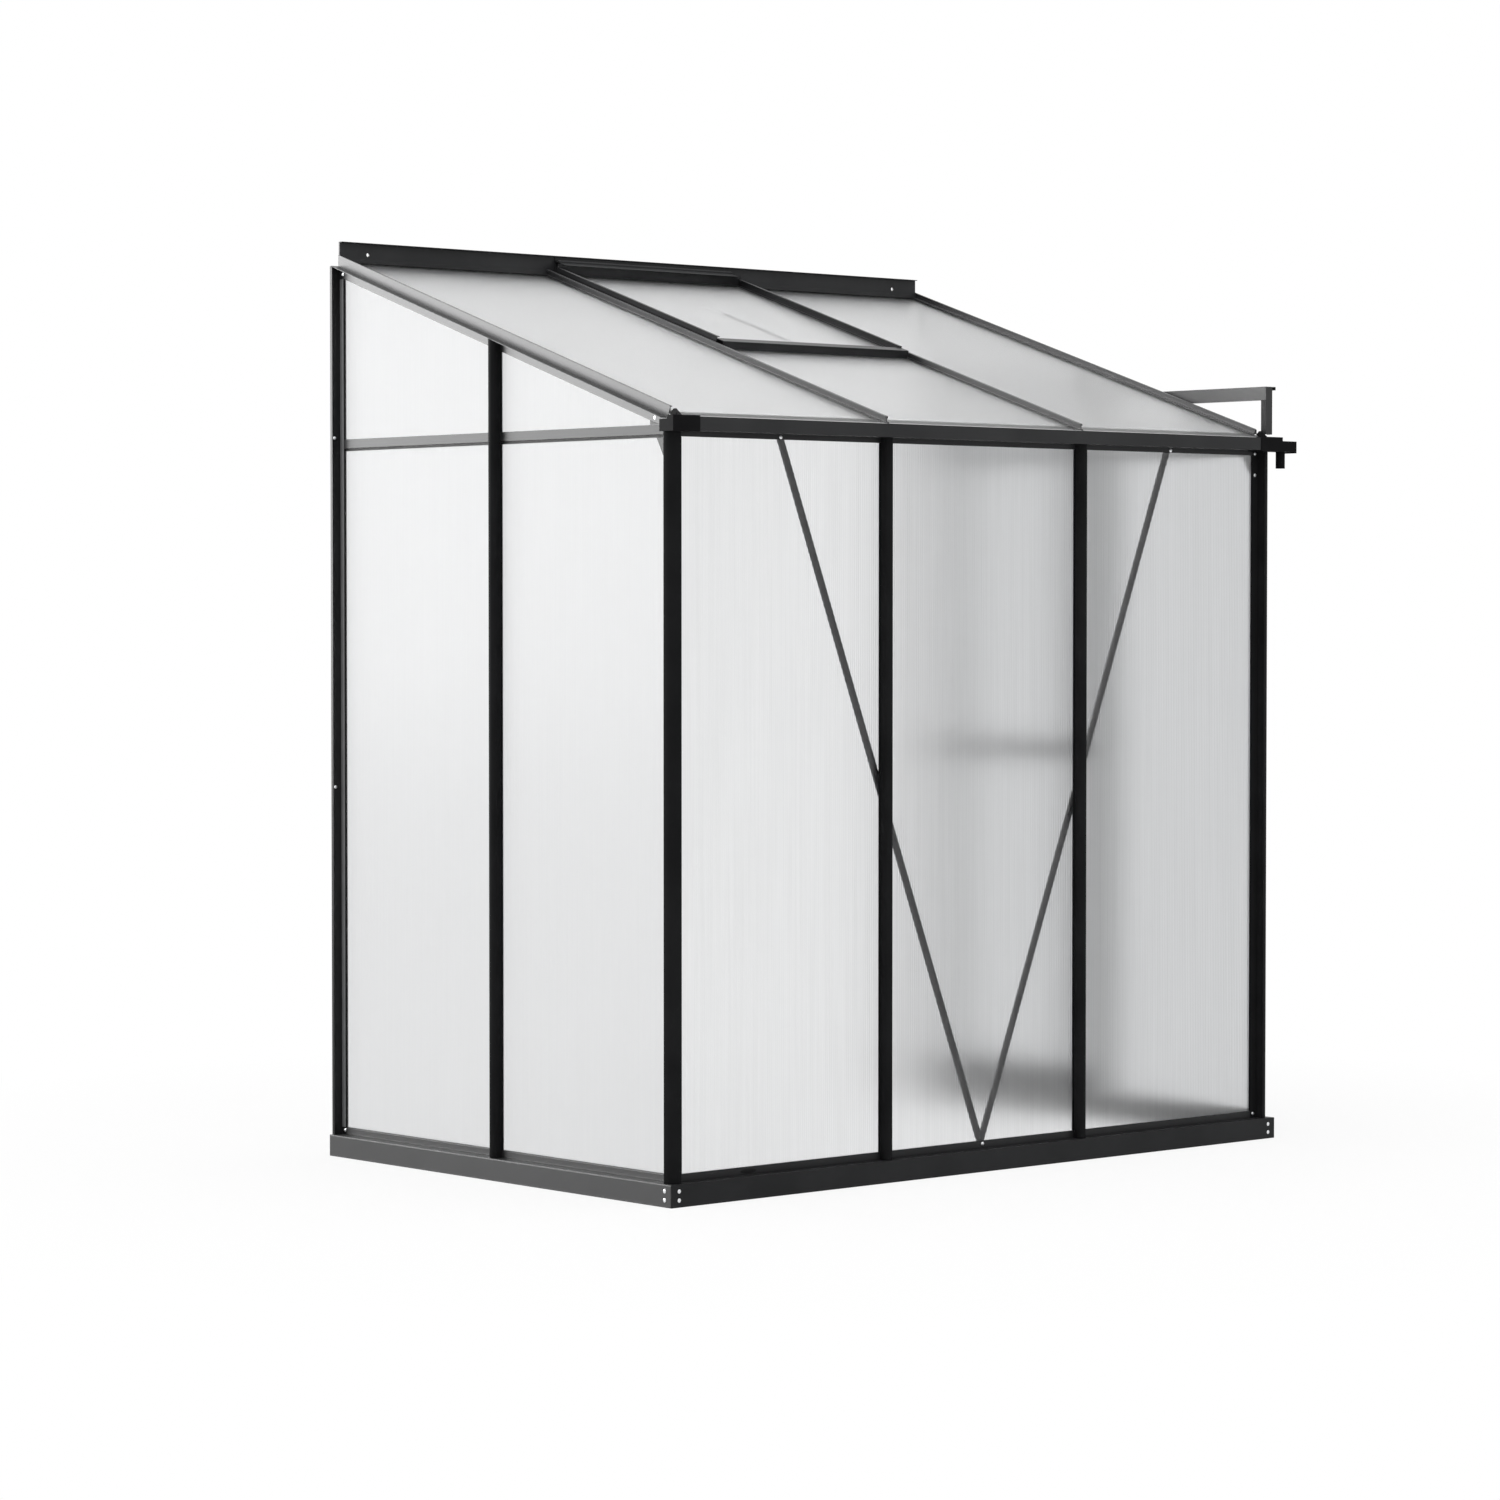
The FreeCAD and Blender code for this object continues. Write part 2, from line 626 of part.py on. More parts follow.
def gutter_outlet():
    body = new_body("gutter_outlet")
    front, back, y_mid = "-gutter_y - cap_wall", "-face_y - cap_wall", "-(gutter_y + face_y) / 2"
    floor, roof = "outlet_bottom + outlet_lift", "outlet_top - cap_wall"
    neck = "half_x + outlet_neck"
    near, far = f"{front} + cap_wall", f"{back} - cap_wall"
    gutter_end(body, 1, neck, box_loop(near, f"{floor} + cap_wall", far, f"{roof} - cap_wall"))
    bar(body, "YZ", neck, "outlet_reach",
        [(front, roof), (front, floor), (back, floor), (back, roof), (far, roof), (far, f"{floor} + cap_wall"),
         (near, f"{floor} + cap_wall"), (near, roof)])
    bar(body, "YZ", "outlet_reach - cap_wall", "outlet_reach", box_loop(front, "outlet_bottom", back, roof))
    cut(body, "XY", circles=[("spout_offset", y_mid, "spout_diameter / 2 - cap_wall")])
    bar(body, "YZ", neck, "outlet_reach", box_loop(front, roof, back, "outlet_top"))
    bar(body, "XY", "spout_bottom", floor,
        circles=[("spout_offset", y_mid, "spout_diameter / 2"),
                 ("spout_offset", y_mid, "spout_diameter / 2 - cap_wall")])


# Side rails at eave height
def girt(name, side):
    body = new_body(name)
    bar(body, "XZ", "-(face_y - corner_wing)", "half_y - wall_wing - wall_nose",
        sided(side, [("face_x", "girt_face_bottom"), ("face_x", "girt_top"), ("face_x - groove_in", "girt_top"),
                     ("face_x - groove_in", "girt_web + bar_wall"), ("face_x - groove_out", "girt_web + bar_wall"),
                     ("face_x - groove_out", "girt_top"), ("face_x - bar_depth", "girt_top"),
                     ("face_x - bar_depth", "girt_bottom"), ("face_x - groove_out", "girt_bottom"),
                     ("face_x - groove_out", "girt_web"), ("face_x - groove_in", "girt_web"),
                     ("face_x - groove_in", "girt_face_bottom")]))


# Wall beam: fixing plate, drip hood, seal lip over the roof and the rest under it
def wall_beam():
    body = new_body("wall_beam")
    face, back = "beam_face_y", "half_y"
    lip = f"{face} - beam_seal_reach"
    over = "panel_thick + beam_seal_gap"
    bar(body, "YZ", "-beam_length / 2", "beam_length / 2",
        [(back, "beam_bottom"), (back, "beam_top"), (f"{back} - beam_hood", "beam_top"),
         (f"{back} - beam_hood", "beam_top - bar_wall"), (face, "beam_top - bar_wall"), (face, "beam_seal_top"),
         (lip, "beam_seal_top"), (lip, roof_under(lip, over)), (face, roof_under(face, over)),
         (face, roof_under(face)), ("ledger_y", roof_under("ledger_y")), ("ledger_y", roof_under("ledger_y", "-bar_wall")),
         (face, roof_under(face, "-bar_wall")), (face, "beam_bottom")])
    cut(body, "XZ", circles=[(f"{k} * beam_hole_offset", "beam_hole_height", "beam_hole / 2") for k in (-1, 0, 1)])


# Rafters: fin above the panels, web between them, rest and stem below
def rib_fin(x):
    """Upright fin with a foot on the panel edges and a thicker head."""
    foot, web, head = "rib_foot / 2", "rib_web / 2", "rib_head / 2"
    low, neck = "panel_thick + bar_wall", "rib_top - rib_head_thick"
    return [(f"{x} - {foot}", "panel_thick"), (f"{x} + {foot}", "panel_thick"), (f"{x} + {foot}", low),
            (f"{x} + {web}", low), (f"{x} + {web}", neck), (f"{x} + {head}", neck), (f"{x} + {head}", "rib_top"),
            (f"{x} - {head}", "rib_top"), (f"{x} - {head}", neck), (f"{x} - {web}", neck), (f"{x} - {web}", low),
            (f"{x} - {foot}", low)]


def upright_end(y):
    """Everything behind an upright plane at the given Y."""
    return in_roof(box_loop(y, "beam_top / 2", f"{y} + half_y", "beam_top * 2"))


def mid_rafter(name, side):
    x = f"{side} * bay_offset"
    rest = "rafter_foot / 2"
    body = new_body(name, tilted=True)
    bar(body, "XZ", "-eave_rest_y / run", "ledger_y / run + rafter_overrun",
        box_loop(f"{x} - {rest}", "-bar_wall", f"{x} + {rest}", "0"))
    bar(body, "XZ", "-eave_rest_y / run", "ledger_y / run + rafter_overrun",
        box_loop(f"{x} - stem_width / 2", "-bar_wall - stem_drop", f"{x} + stem_width / 2", "-bar_wall"),
        box_loop(f"{x} - stem_width / 2 + bar_wall", "-stem_drop", f"{x} + stem_width / 2 - bar_wall", "-bar_wall * 2"))
    cut(body, "YZ", upright_end("ledger_y"))
    bar(body, "XZ", "-rafter_front / run", "half_y / run", rib_fin(x))
    bar(body, "XZ", "-rafter_front / run", "half_y / run", box_loop(f"{x} - bar_web / 2", "0", f"{x} + bar_web / 2", "panel_thick"))
    cut(body, "YZ", upright_end("beam_face_y - beam_seal_reach"))


def gable_rafter(name, side):
    wall = "gable_wall - bar_wall"
    flat, under = "-lip_drop", "-lip_drop - bar_wall"
    body = new_body(name, tilted=True)
    bar(body, "XZ", "-eave_rest_y / run", "ledger_y / run + rafter_overrun",
        sided(side, box_loop(f"{wall} - rafter_rest", "-bar_wall", wall, "0")))
    cut(body, "YZ", upright_end("ledger_y"))
    bar(body, "XZ", "-rafter_front / run", "half_y / run",
        sided(side, box_loop(f"{wall} - rib_foot", "panel_thick", wall, "panel_thick + bar_wall")),
        sided(side, box_loop(f"{wall} - rib_head / 2", "rib_top - bar_wall", wall, "rib_top")))
    cut(body, "YZ", upright_end("beam_face_y - beam_seal_reach"))
    bar(body, "XZ", "-rafter_front / run - skirt_lead", "half_y / run",
        sided(side, box_loop("face_x - groove_in", "-skirt_drop", "face_x", under)),
        sided(side, box_loop("face_x - bar_depth", "-skirt_drop", "face_x - groove_out", under)))
    bar(body, "XZ", "-rafter_front / run", "half_y / run",
        sided(side, box_loop("face_x - bar_depth", under, wall, flat)))
    cut(body, "YZ", in_roof(box_loop("-base_depth", "girt_top / 2", "0", "girt_top")))
    cut(body, "YZ", upright_end("beam_face_y - bar_wall"))
    bar(body, "XZ", "-rafter_front / run", "half_y / run + rafter_overrun",
        sided(side, [(wall, "rib_top"), ("gable_wall", "rib_top"), ("gable_wall", flat), ("gable_lip", flat),
                     ("gable_lip", under), (wall, under)]))
    cut(body, "YZ", upright_end("half_y"))


def roof_cross_bar():
    body = new_body("roof_cross_bar", tilted=True)
    reach = "bay_offset - rafter_foot / 2"
    y, half, floor = "cross_bar_y", "stem_width / 2", "-bar_wall - cross_drop"
    bar(body, "YZ", f"-({reach})", reach,
        [(f"{y} - cross_flange", "-bar_wall"), (f"{y} - {half}", "-bar_wall"), (f"{y} - {half}", floor),
         (f"{y} + {half}", floor), (f"{y} + {half}", "-bar_wall"), (f"{y} + cross_flange", "-bar_wall"),
         (f"{y} + cross_flange", "0"), (f"{y} + bar_wall", "0"), (f"{y} + bar_wall", "panel_thick"),
         (y, "panel_thick"), (y, "0"), (f"{y} - cross_flange", "0")],
        box_loop(f"{y} - {half} + bar_wall", "-cross_drop", f"{y} + {half} - bar_wall", "-bar_wall * 2"))


# Wind braces: flat strips behind the front panels, and the triangular corner plates
def brace(name, side):
    run, climb = "(brace_top_x)", "(brace_top_z - brace_foot_z)"
    long = f"sqrt({run}^2 + {climb}^2)"
    nx, nz = f"({climb} / {long} * brace_width / 2)", f"({run} / {long} * brace_width / 2)"
    ex_x, ex_z = f"({run} / {long} * brace_lap)", f"({climb} / {long} * brace_lap)"
    layer = "0" if side < 0 else "brace_thick"
    body = new_body(name)
    start = f"bar_depth - face_y + {layer}"
    bar(body, "XZ", start, f"{start} + brace_thick",
        sided(side, [(f"{nx} - {ex_x}", f"brace_foot_z - {nz} - {ex_z}"),
                     (f"brace_top_x + {nx} + {ex_x}", f"brace_top_z - {nz} + {ex_z}"),
                     (f"brace_top_x - {nx} + {ex_x}", f"brace_top_z + {nz} + {ex_z}"),
                     (f"-{nx} - {ex_x}", f"brace_foot_z + {nz} - {ex_z}")]))
    if side > 0:
        bar(body, "XZ", "bar_depth - face_y", start, circles=[("brace_top_x", "brace_top_z", "brace_width / 2")])


def eave_gussets():
    body = new_body("eave_gussets")
    low, high = "gusset_top - gusset_drop", "gusset_top"
    front = "bar_depth + gusset_gap - face_y"
    for side in (-1, 1):
        bar(body, "YZ", *span(side, "face_x - bar_depth - gusset_thick", "face_x - bar_depth"),
            [(front, high), (f"{front} + gusset_leg", high), (front, low)])


# Panels
def front_panel(name, left, right):
    body = new_body(name)
    bar(body, "XZ", "groove_in - face_y", "groove_out - face_y",
        box_loop(left, "base_height + bar_wall", right, "gutter_floor + eave_groove - bar_wall - panel_play"))


def side_panel(name, side, front, back, low, high):
    body = new_body(name)
    bar(body, "YZ", *span(side, "face_x - groove_out", "face_x - groove_in"),
        [(front, low), (back, low), (back, high(back)), (front, high(front))])


def roof_panel(name, left, right, front, back):
    body = new_body(name, tilted=True)
    bar(body, "YZ", left, right,
        in_roof([(front, roof_under(front)), (back, roof_under(back)),
                 (back, roof_under(back, "panel_thick")), (front, roof_under(front, "panel_thick"))]))


def panels():
    play = "(bar_web / 2 + panel_play)"
    corner = "face_x - corner_groove - panel_play"
    front_panel("panel_front_left", f"-({corner})", f"-bay_offset - {play}")
    front_panel("panel_front_mid", f"{play} - bay_offset", f"bay_offset - {play}")
    front_panel("panel_front_right", f"bay_offset + {play}", corner)
    y0, y1 = "corner_groove + panel_play - face_y", f"side_stud_y - {play}"
    y2, y3 = f"side_stud_y + {play}", "half_y - wall_core - panel_play"
    floor, shelf = "base_height + bar_wall", "girt_web + bar_wall"
    below = lambda y: "girt_web - panel_play"
    under_lip = lambda y: roof_under(y, "-lip_drop - bar_wall - panel_play / 2")
    side_panel("panel_left_front", -1, y0, y1, floor, below)
    side_panel("panel_left_rear", -1, y2, y3, floor, below)
    side_panel("panel_left_front_upper", -1, y0, y1, shelf, under_lip)
    side_panel("panel_left_rear_upper", -1, y2, y3, shelf, under_lip)
    side_panel("panel_right_front", 1, y0, y1, floor, below)
    side_panel("panel_right_front_upper", 1, y0, y1, shelf, under_lip)
    side_panel("panel_over_door", 1, y2, y3, shelf, under_lip)
    back = "beam_face_y - panel_play"
    edge = "gable_wall - bar_wall - panel_play"
    roof_panel("panel_roof_left", f"-({edge})", f"-bay_offset - {play}", "-roof_front", back)
    roof_panel("panel_roof_mid", f"{play} - bay_offset", f"bay_offset - {play}", "-roof_front", "(cross_bar_y - panel_play * 2) * run")
    roof_panel("panel_roof_right", f"bay_offset + {play}", edge, "-roof_front", back)


# Roof vent: rails around one panel, hung by a hook on a round bead, and its stay
def vent_hinge():
    body = new_body("vent_hinge")
    face, arm = "beam_face_y", "hinge_z + bar_wall / 2"
    low, high = "beam_seal_top + hinge_strip_play", "beam_top - bar_wall - hinge_strip_play"
    bar(body, "YZ", "-hinge_half", "hinge_half",
        [(f"{face} - bar_wall", low), (face, low), (face, high),
         (f"{face} - bar_wall", high), (f"{face} - bar_wall", arm), ("hinge_y", arm),
         ("hinge_y", f"{arm} - bar_wall"), (f"{face} - bar_wall", f"{arm} - bar_wall")])
    cut(body, "XZ", circles=[("0", "beam_hole_height", "beam_hole / 2")])
    bar(body, "YZ", "-hinge_half", "hinge_half", circles=[("hinge_y", "hinge_z", "hinge_bead")])


def vent_frame():
    body = new_body("vent_frame", tilted=True)
    low, high = "vent_low_run", "vent_top_run"
    top, side_top = "hinge_lift - bar_wall / 2", "vent_seat + vent_side_rise"
    hold = "vent_seat + bar_wall + panel_thick"
    for side in (-1, 1):
        bar(body, "XZ", f"{low} + vent_front_flange", high,
            sided(side, [("vent_half", "vent_seat"), ("vent_half", side_top), ("vent_half - vent_flange", side_top),
                         ("vent_half - vent_flange", f"{side_top} - bar_wall"),
                         ("vent_half - bar_wall", f"{side_top} - bar_wall"),
                         ("vent_half - bar_wall", f"{hold} + bar_wall"), ("vent_half - vent_flange", f"{hold} + bar_wall"),
                         ("vent_half - vent_flange", hold), ("vent_half - bar_wall", hold),
                         ("vent_half - bar_wall", "vent_seat + bar_wall"),
                         ("vent_half - vent_flange", "vent_seat + bar_wall"), ("vent_half - vent_flange", "vent_seat")]))
    front = "vent_front_top + panel_thick"
    bar(body, "YZ", "-vent_half", "vent_half",
        [(low, "panel_thick + vent_lift"), (f"{low} + bar_wall", "panel_thick + vent_lift"),
         (f"{low} + bar_wall", f"{front} - bar_wall"), (f"{low} + vent_front_flange", f"{front} - bar_wall"),
         (f"{low} + vent_front_flange", f"{hold}"), (f"{low} + vent_front_flange + vent_flange", hold),
         (f"{low} + vent_front_flange + vent_flange", f"{hold} + bar_wall"),
         (f"{low} + vent_front_flange + bar_wall", f"{hold} + bar_wall"),
         (f"{low} + vent_front_flange + bar_wall", front), (low, front)])
    rim, foot = f"{low} + vent_front_flange", "vent_seat + bar_wall"
    bar(body, "YZ", "-vent_half", "vent_half",
        [(f"{rim} - vent_flange", "vent_seat"), (f"{rim} + vent_front_foot", "vent_seat"),
         (f"{rim} + vent_front_foot", foot), (f"{rim} + bar_wall", foot), (f"{rim} + bar_wall", hold),
         (rim, hold), (rim, foot), (f"{rim} - vent_flange", foot)])
    hook_in, hook_out = "(hinge_bead + hinge_play)", "(hinge_bead + hinge_play + hinge_hook)"
    bar(body, "YZ", "-vent_half", "vent_half",
        [(f"{high} - vent_flange * 2", "vent_seat"), (high, "vent_seat"), (high, top), (f"{high} - bar_wall", top),
         (f"{high} - bar_wall", foot), (f"{high} - vent_flange * 2", foot)])
    bar(body, "YZ", "-vent_half", "vent_half", box_loop(f"{high} - vent_flange", hold, high, f"{hold} + bar_wall"))
    start, middle, stop = "70", "185", "300"
    def polar(radius, angle):
        return (f"hinge_run + ({radius}) * cos({angle} - roof_pitch)", f"hinge_lift + ({radius}) * sin({angle} - roof_pitch)")
    bar(body, "YZ", "-(hinge_half - hook_end_play)", "hinge_half - hook_end_play",
        [polar(hook_out, start) + (hook_out,), polar(hook_out, middle) + (hook_out,), polar(hook_out, stop),
         polar(hook_in, stop) + (f"-({hook_in})",), polar(hook_in, middle) + (f"-({hook_in})",), polar(hook_in, start)])
    bar(body, "YZ", "-(hinge_half - hook_end_play)", "hinge_half - hook_end_play",
        box_loop(f"{high} - vent_flange", f"{top} - bar_wall", f"hinge_run - {hook_in} - hinge_hook / 2", top))
    ear = "stay_width / 2 + stay_play"
    bar(body, "YZ", f"-({ear}) - stay_lug", f"{ear} + stay_lug",
        box_loop(f"{rim} + stay_lap", "vent_seat", "stay_run + stay_ear + stay_play", foot))
    for side in (-1, 1):
        bar(body, "YZ", *span(side, ear, f"{ear} + bar_wall"),
            box_loop("stay_run - stay_ear", "-stay_eye", "stay_run + stay_ear", "vent_seat"))
    bar(body, "YZ", f"-({ear})", ear, circles=[("stay_run", "0", "stay_pin")])


def vent_panel():
    body = new_body("vent_panel", tilted=True)
    hold = "vent_seat + bar_wall"
    edge = "vent_half - bar_wall - panel_play"
    bar(body, "YZ", f"-({edge})", edge,
        box_loop("vent_low_run + vent_front_flange + bar_wall + panel_play", hold,
                 "vent_top_run - bar_wall - panel_play", f"{hold} + panel_thick"))


def vent_stay():
    body = new_body("vent_stay", tilted=True)
    half = "stay_width / 2"
    bar(body, "YZ", f"-{half}", half,
        circles=[("stay_run", "0", "stay_eye"), ("stay_run", "0", "stay_pin + axle_play")])
    bar(body, "YZ", f"-{half}", half,
        box_loop("stay_run", "stay_eye - stay_thick", "stay_run + stay_length", "stay_eye"))
    cut(body, "XY", circles=[("0", f"stay_run + {k} * stay_length / 6", "stay_hole / 2") for k in (2, 3, 4, 5)])


# Sliding door: stiles and rails around two panels, hung on rollers
def door_stile(name, at, inward):
    """Hollow upright with the panel groove on its inner side."""
    x0, x1 = "door_in_x", "door_out_x"
    g0, g1 = "door_panel_x", "door_panel_x + panel_thick"
    far, lip = f"{at} + {inward} * stile_width", f"{at} + {inward} * (stile_width - panel_groove)"
    body = new_body(name)
    bar(body, "XY", "door_bottom", "door_top",
        [(x0, at), (x1, at), (x1, far), (g1, far), (g1, lip), (g0, lip), (g0, far), (x0, far)],
        box_loop(f"{x0} + door_wall", f"{at} + {inward} * door_wall", f"{x1} - door_wall", f"{lip} - {inward} * door_wall"))
    cut(body, "XZ", box_loop(g0, "door_bottom - 1", g1, "door_bottom + panel_groove"))


def door_rail(name, low, high, grooves):
    """Hollow crosswise rail with the panel groove in its lower (-1) or upper (1) edge."""
    x0, x1 = "door_in_x", "door_out_x"
    g0, g1 = "door_panel_x", "door_panel_x + panel_thick"
    below, above = -1 in grooves, 1 in grooves
    outline = [(x0, low)]
    if below:
        outline += [(g0, low), (g0, f"{low} + panel_groove"), (g1, f"{low} + panel_groove"), (g1, low)]
    outline += [(x1, low), (x1, high)]
    if above:
        outline += [(g1, high), (g1, f"{high} - panel_groove"), (g0, f"{high} - panel_groove"), (g0, high)]
    outline += [(x0, high)]
    floor = f"{low} + door_wall" + (" + panel_groove" if below else "")
    roof = f"{high} - door_wall" + (" - panel_groove" if above else "")
    body = new_body(name)
    bar(body, "XZ", "stile_width - door_front", "door_rear - stile_width", outline,
        box_loop(f"{x0} + door_wall", floor, f"{x1} - door_wall", roof))


def door_panel(name, low, high):
    body = new_body(name)
    inset = "stile_width - panel_groove + panel_play"
    bar(body, "YZ", "door_panel_x", "door_panel_x + panel_thick", box_loop(f"{inset} - door_front", low, f"door_rear - ({inset})", high))


def door():
    door_stile("door_stile_front", "-door_front", 1)
    door_stile("door_stile_rear", "door_rear", -1)
    door_rail("door_rail_bottom", "door_bottom", "door_bottom + bottom_rail", (-1, 1))
    door_rail("door_rail_mid", "mid_rail_height - mid_rail / 2", "mid_rail_height + mid_rail / 2", (-1, 1))
    door_rail("door_rail_top", "door_top - top_rail", "door_top", (-1,))
    door_panel("door_panel_lower", "door_bottom + bottom_rail - panel_groove", "mid_rail_height - mid_rail / 2 + panel_groove - panel_play")
    door_panel("door_panel_upper", "mid_rail_height + mid_rail / 2 - panel_groove", "door_top - top_rail + panel_groove - panel_play")


def door_handle():
    body = new_body("door_handle")
    y0, y1 = "stile_width / 2 - door_front - handle_bar / 2", "stile_width / 2 - door_front + handle_bar / 2"
    x0, low, high = "door_out_x", "handle_height - handle_length / 2", "handle_height + handle_length / 2"
    out, bevel = "door_out_x + handle_reach", "door_out_x + handle_reach - handle_bevel"
    grip, foot = "door_out_x + handle_reach - handle_grip", "handle_foot"
    bar(body, "XZ", y0, y1,
        [(x0, low), (bevel, low), (out, f"{low} + handle_bevel"), (out, f"{high} - handle_bevel"), (bevel, high),
         (x0, high), (x0, f"{high} - {foot}"), (grip, f"{high} - {foot}"), (grip, f"{low} + {foot}"), (x0, f"{low} + {foot}")])


ROLLERS = {"front": "roller_inset - door_front", "rear": "door_rear - roller_inset"}


def door_hangers():
    body = new_body("door_hangers")
    plate, tip = "door_in_x + hanger_offset", "axle_z + hanger_rise"
    for y in ROLLERS.values():
        bar(body, "XZ", f"{y} - hanger_width / 2", f"{y} + hanger_width / 2",
            [("door_in_x", "door_top"), ("door_out_x", "door_top"), ("door_out_x", "door_top + hanger_thick"),
             (f"{plate} + hanger_thick", "door_top + hanger_thick"), (f"{plate} + hanger_thick", tip),
             (plate, tip), (plate, "door_top + hanger_thick"), ("door_in_x", "door_top + hanger_thick")])
        bar(body, "YZ", "door_in_x + axle_inset", plate, circles=[(y, "axle_z", "axle_diameter / 2")])


def door_roller(place):
    body = new_body(f"door_roller_{place}")
    y, x = ROLLERS[place], "door_in_x + roller_offset"
    rim, bore = (y, "axle_z", "roller_diameter / 2"), (y, "axle_z", "axle_diameter / 2 + axle_play")
    bar(body, "YZ", x, f"{x} + roller_width", circles=[rim, bore])


def door_track():
    body = new_body("door_track")
    x0, x1 = "nose_out_x", "track_x"
    bar(body, "XZ", "-track_front", "half_y",
        [(x0, "track_bottom"), (x1, "track_bottom"), (x1, "track_top - bar_wall"),
         (f"{x0} + track_hood - bar_wall", "track_top - bar_wall"),
         (f"{x0} + track_hood - bar_wall", "track_top - track_hood_lip"),
         (f"{x0} + track_hood", "track_top - track_hood_lip"), (f"{x0} + track_hood", "track_top"), (x0, "track_top")])
    bar(body, "XZ", "strut_depth + strut_gap - track_front", "half_y - track_end_play",
        [(x1, "track_bottom"), (f"{x0} + track_shelf", "track_bottom"),
         (f"{x0} + track_shelf", "track_bottom + bar_wall + track_bead"),
         (f"{x0} + track_shelf - bar_wall", "track_bottom + bar_wall + track_bead"),
         (f"{x0} + track_shelf - bar_wall", "track_bottom + bar_wall"), (x1, "track_bottom + bar_wall")])


def track_strut():
    body = new_body("track_strut")
    y0, y1 = "-track_front", "strut_depth - track_front"
    x0, x1 = "track_x", "track_x + strut_width"
    bar(body, "XY", "strut_bottom", "track_top - bar_wall",
        [(x0, y0), (x1, y0), (x1, y1), (f"{x1} - bar_wall", y1), (f"{x1} - bar_wall", f"{y0} + bar_wall"),
         (f"{x0} + bar_wall", f"{y0} + bar_wall"), (f"{x0} + bar_wall", y1), (x0, y1)])
    bar(body, "XZ", f"{y0} + strut_depth / 2", y1,
        [("gable_wall", "strut_bottom"), (f"{x0} + bar_wall", "strut_bottom"), (f"{x0} + bar_wall", "strut_bottom + bar_wall"),
         ("gable_wall + bar_wall", "strut_bottom + bar_wall"), ("gable_wall + bar_wall", "strut_bottom + strut_foot_rise"),
         ("gable_wall", "strut_bottom + strut_foot_rise")])


# Bolt heads that show on the frame, one group
def front_bolts():
    """Places (x, z) of the heads on the glazing face of the front."""
    wing = "face_x - (corner_wing + glazing_lap) / 2"
    places = [("0", "base_height + foot_bolt_rise")]
    for side in (-1, 1):
        places.append((f"{side} * (brace_top_x + brace_bolt_out)", "eave_bottom + brace_bolt_rise"))
        for z in ("base_height + foot_bolt_rise", "eave_bottom - corner_bolt_drop", "eave_bottom + corner_bolt_rise"):
            places.append((f"{side} * ({wing})", z))
    return places


def gable_bolts():
    """Places (y, z) of the heads on the glazing face of a gable."""
    front, back = "rafter_bolt_inset - face_y", "half_y - wall_nose - wall_wing + bolt_head / 2"
    lift = "rafter_bolt_lift - skirt_drop"
    return [(back, "base_height + foot_bolt_rise"), (back, roof_under(back, lift)), (front, roof_under(front, lift))]


def bolt_heads():
    body = new_body("bolt_heads")
    radius = "bolt_head / 2"
    rows = ("base_bolt_low", "base_bolt_high")
    bar(body, "XZ", "-face_y - bolt_rise", "-face_y", circles=[(x, z, radius) for x, z in front_bolts()])
    bar(body, "XZ", "-half_y - bolt_rise", "-half_y",
        circles=[(f"{side} * (half_x - base_bolt_inset)", z, radius) for side in (-1, 1) for z in rows])
    for side in (-1, 1):
        bar(body, "YZ", *span(side, "half_x", "half_x + bolt_rise"),
            circles=[("base_bolt_inset - half_y", z, radius) for z in rows])
        bar(body, "YZ", *span(side, "face_x", "face_x + bolt_rise"), circles=[(y, z, radius) for y, z in gable_bolts()])


base_front()
base_side("base_left", -1)
base_side("base_right", 1)
base_brackets()
sill_front()
sill_side("sill_left", -1)
door_sill()
corner_post("corner_post_left", -1)
corner_post("corner_post_right", 1)
front_stud("stud_front_left", -1)
front_stud("stud_front_right", 1)
side_stud("stud_left", -1)
side_stud("stud_right", 1)
wall_post("wall_post_left", -1)
wall_post("wall_post_right", 1)
eave_beam()
gutter_cap()
gutter_outlet()
girt("girt_left", -1)
girt("girt_right", 1)
wall_beam()
gable_rafter("rafter_left", -1)
mid_rafter("rafter_mid_left", -1)
mid_rafter("rafter_mid_right", 1)
gable_rafter("rafter_right", 1)
roof_cross_bar()
brace("brace_left", -1)
brace("brace_right", 1)
eave_gussets()
panels()
vent_hinge()
vent_frame()
vent_panel()
vent_stay()
door()
door_handle()
door_hangers()
door_roller("front")
door_roller("rear")
door_track()
track_strut()
bolt_heads()

doc.recompute()
for item in doc.Objects:
    if "Invalid" in item.State or "Error" in item.State:
        raise RuntimeError(f"{item.Label} did not compute")
for body in doc.findObjects("PartDesign::Body"):
    shape = body.Shape
    if shape.isNull() or not shape.isValid():
        raise RuntimeError(f"{body.Label} has no valid shape")
    shape.exportStep(f"parts/{body.Label}.step")
    print(f"{body.Label}: {len(shape.Solids)} solids, {shape.Volume:.0f} mm3")
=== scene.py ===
import json
import math

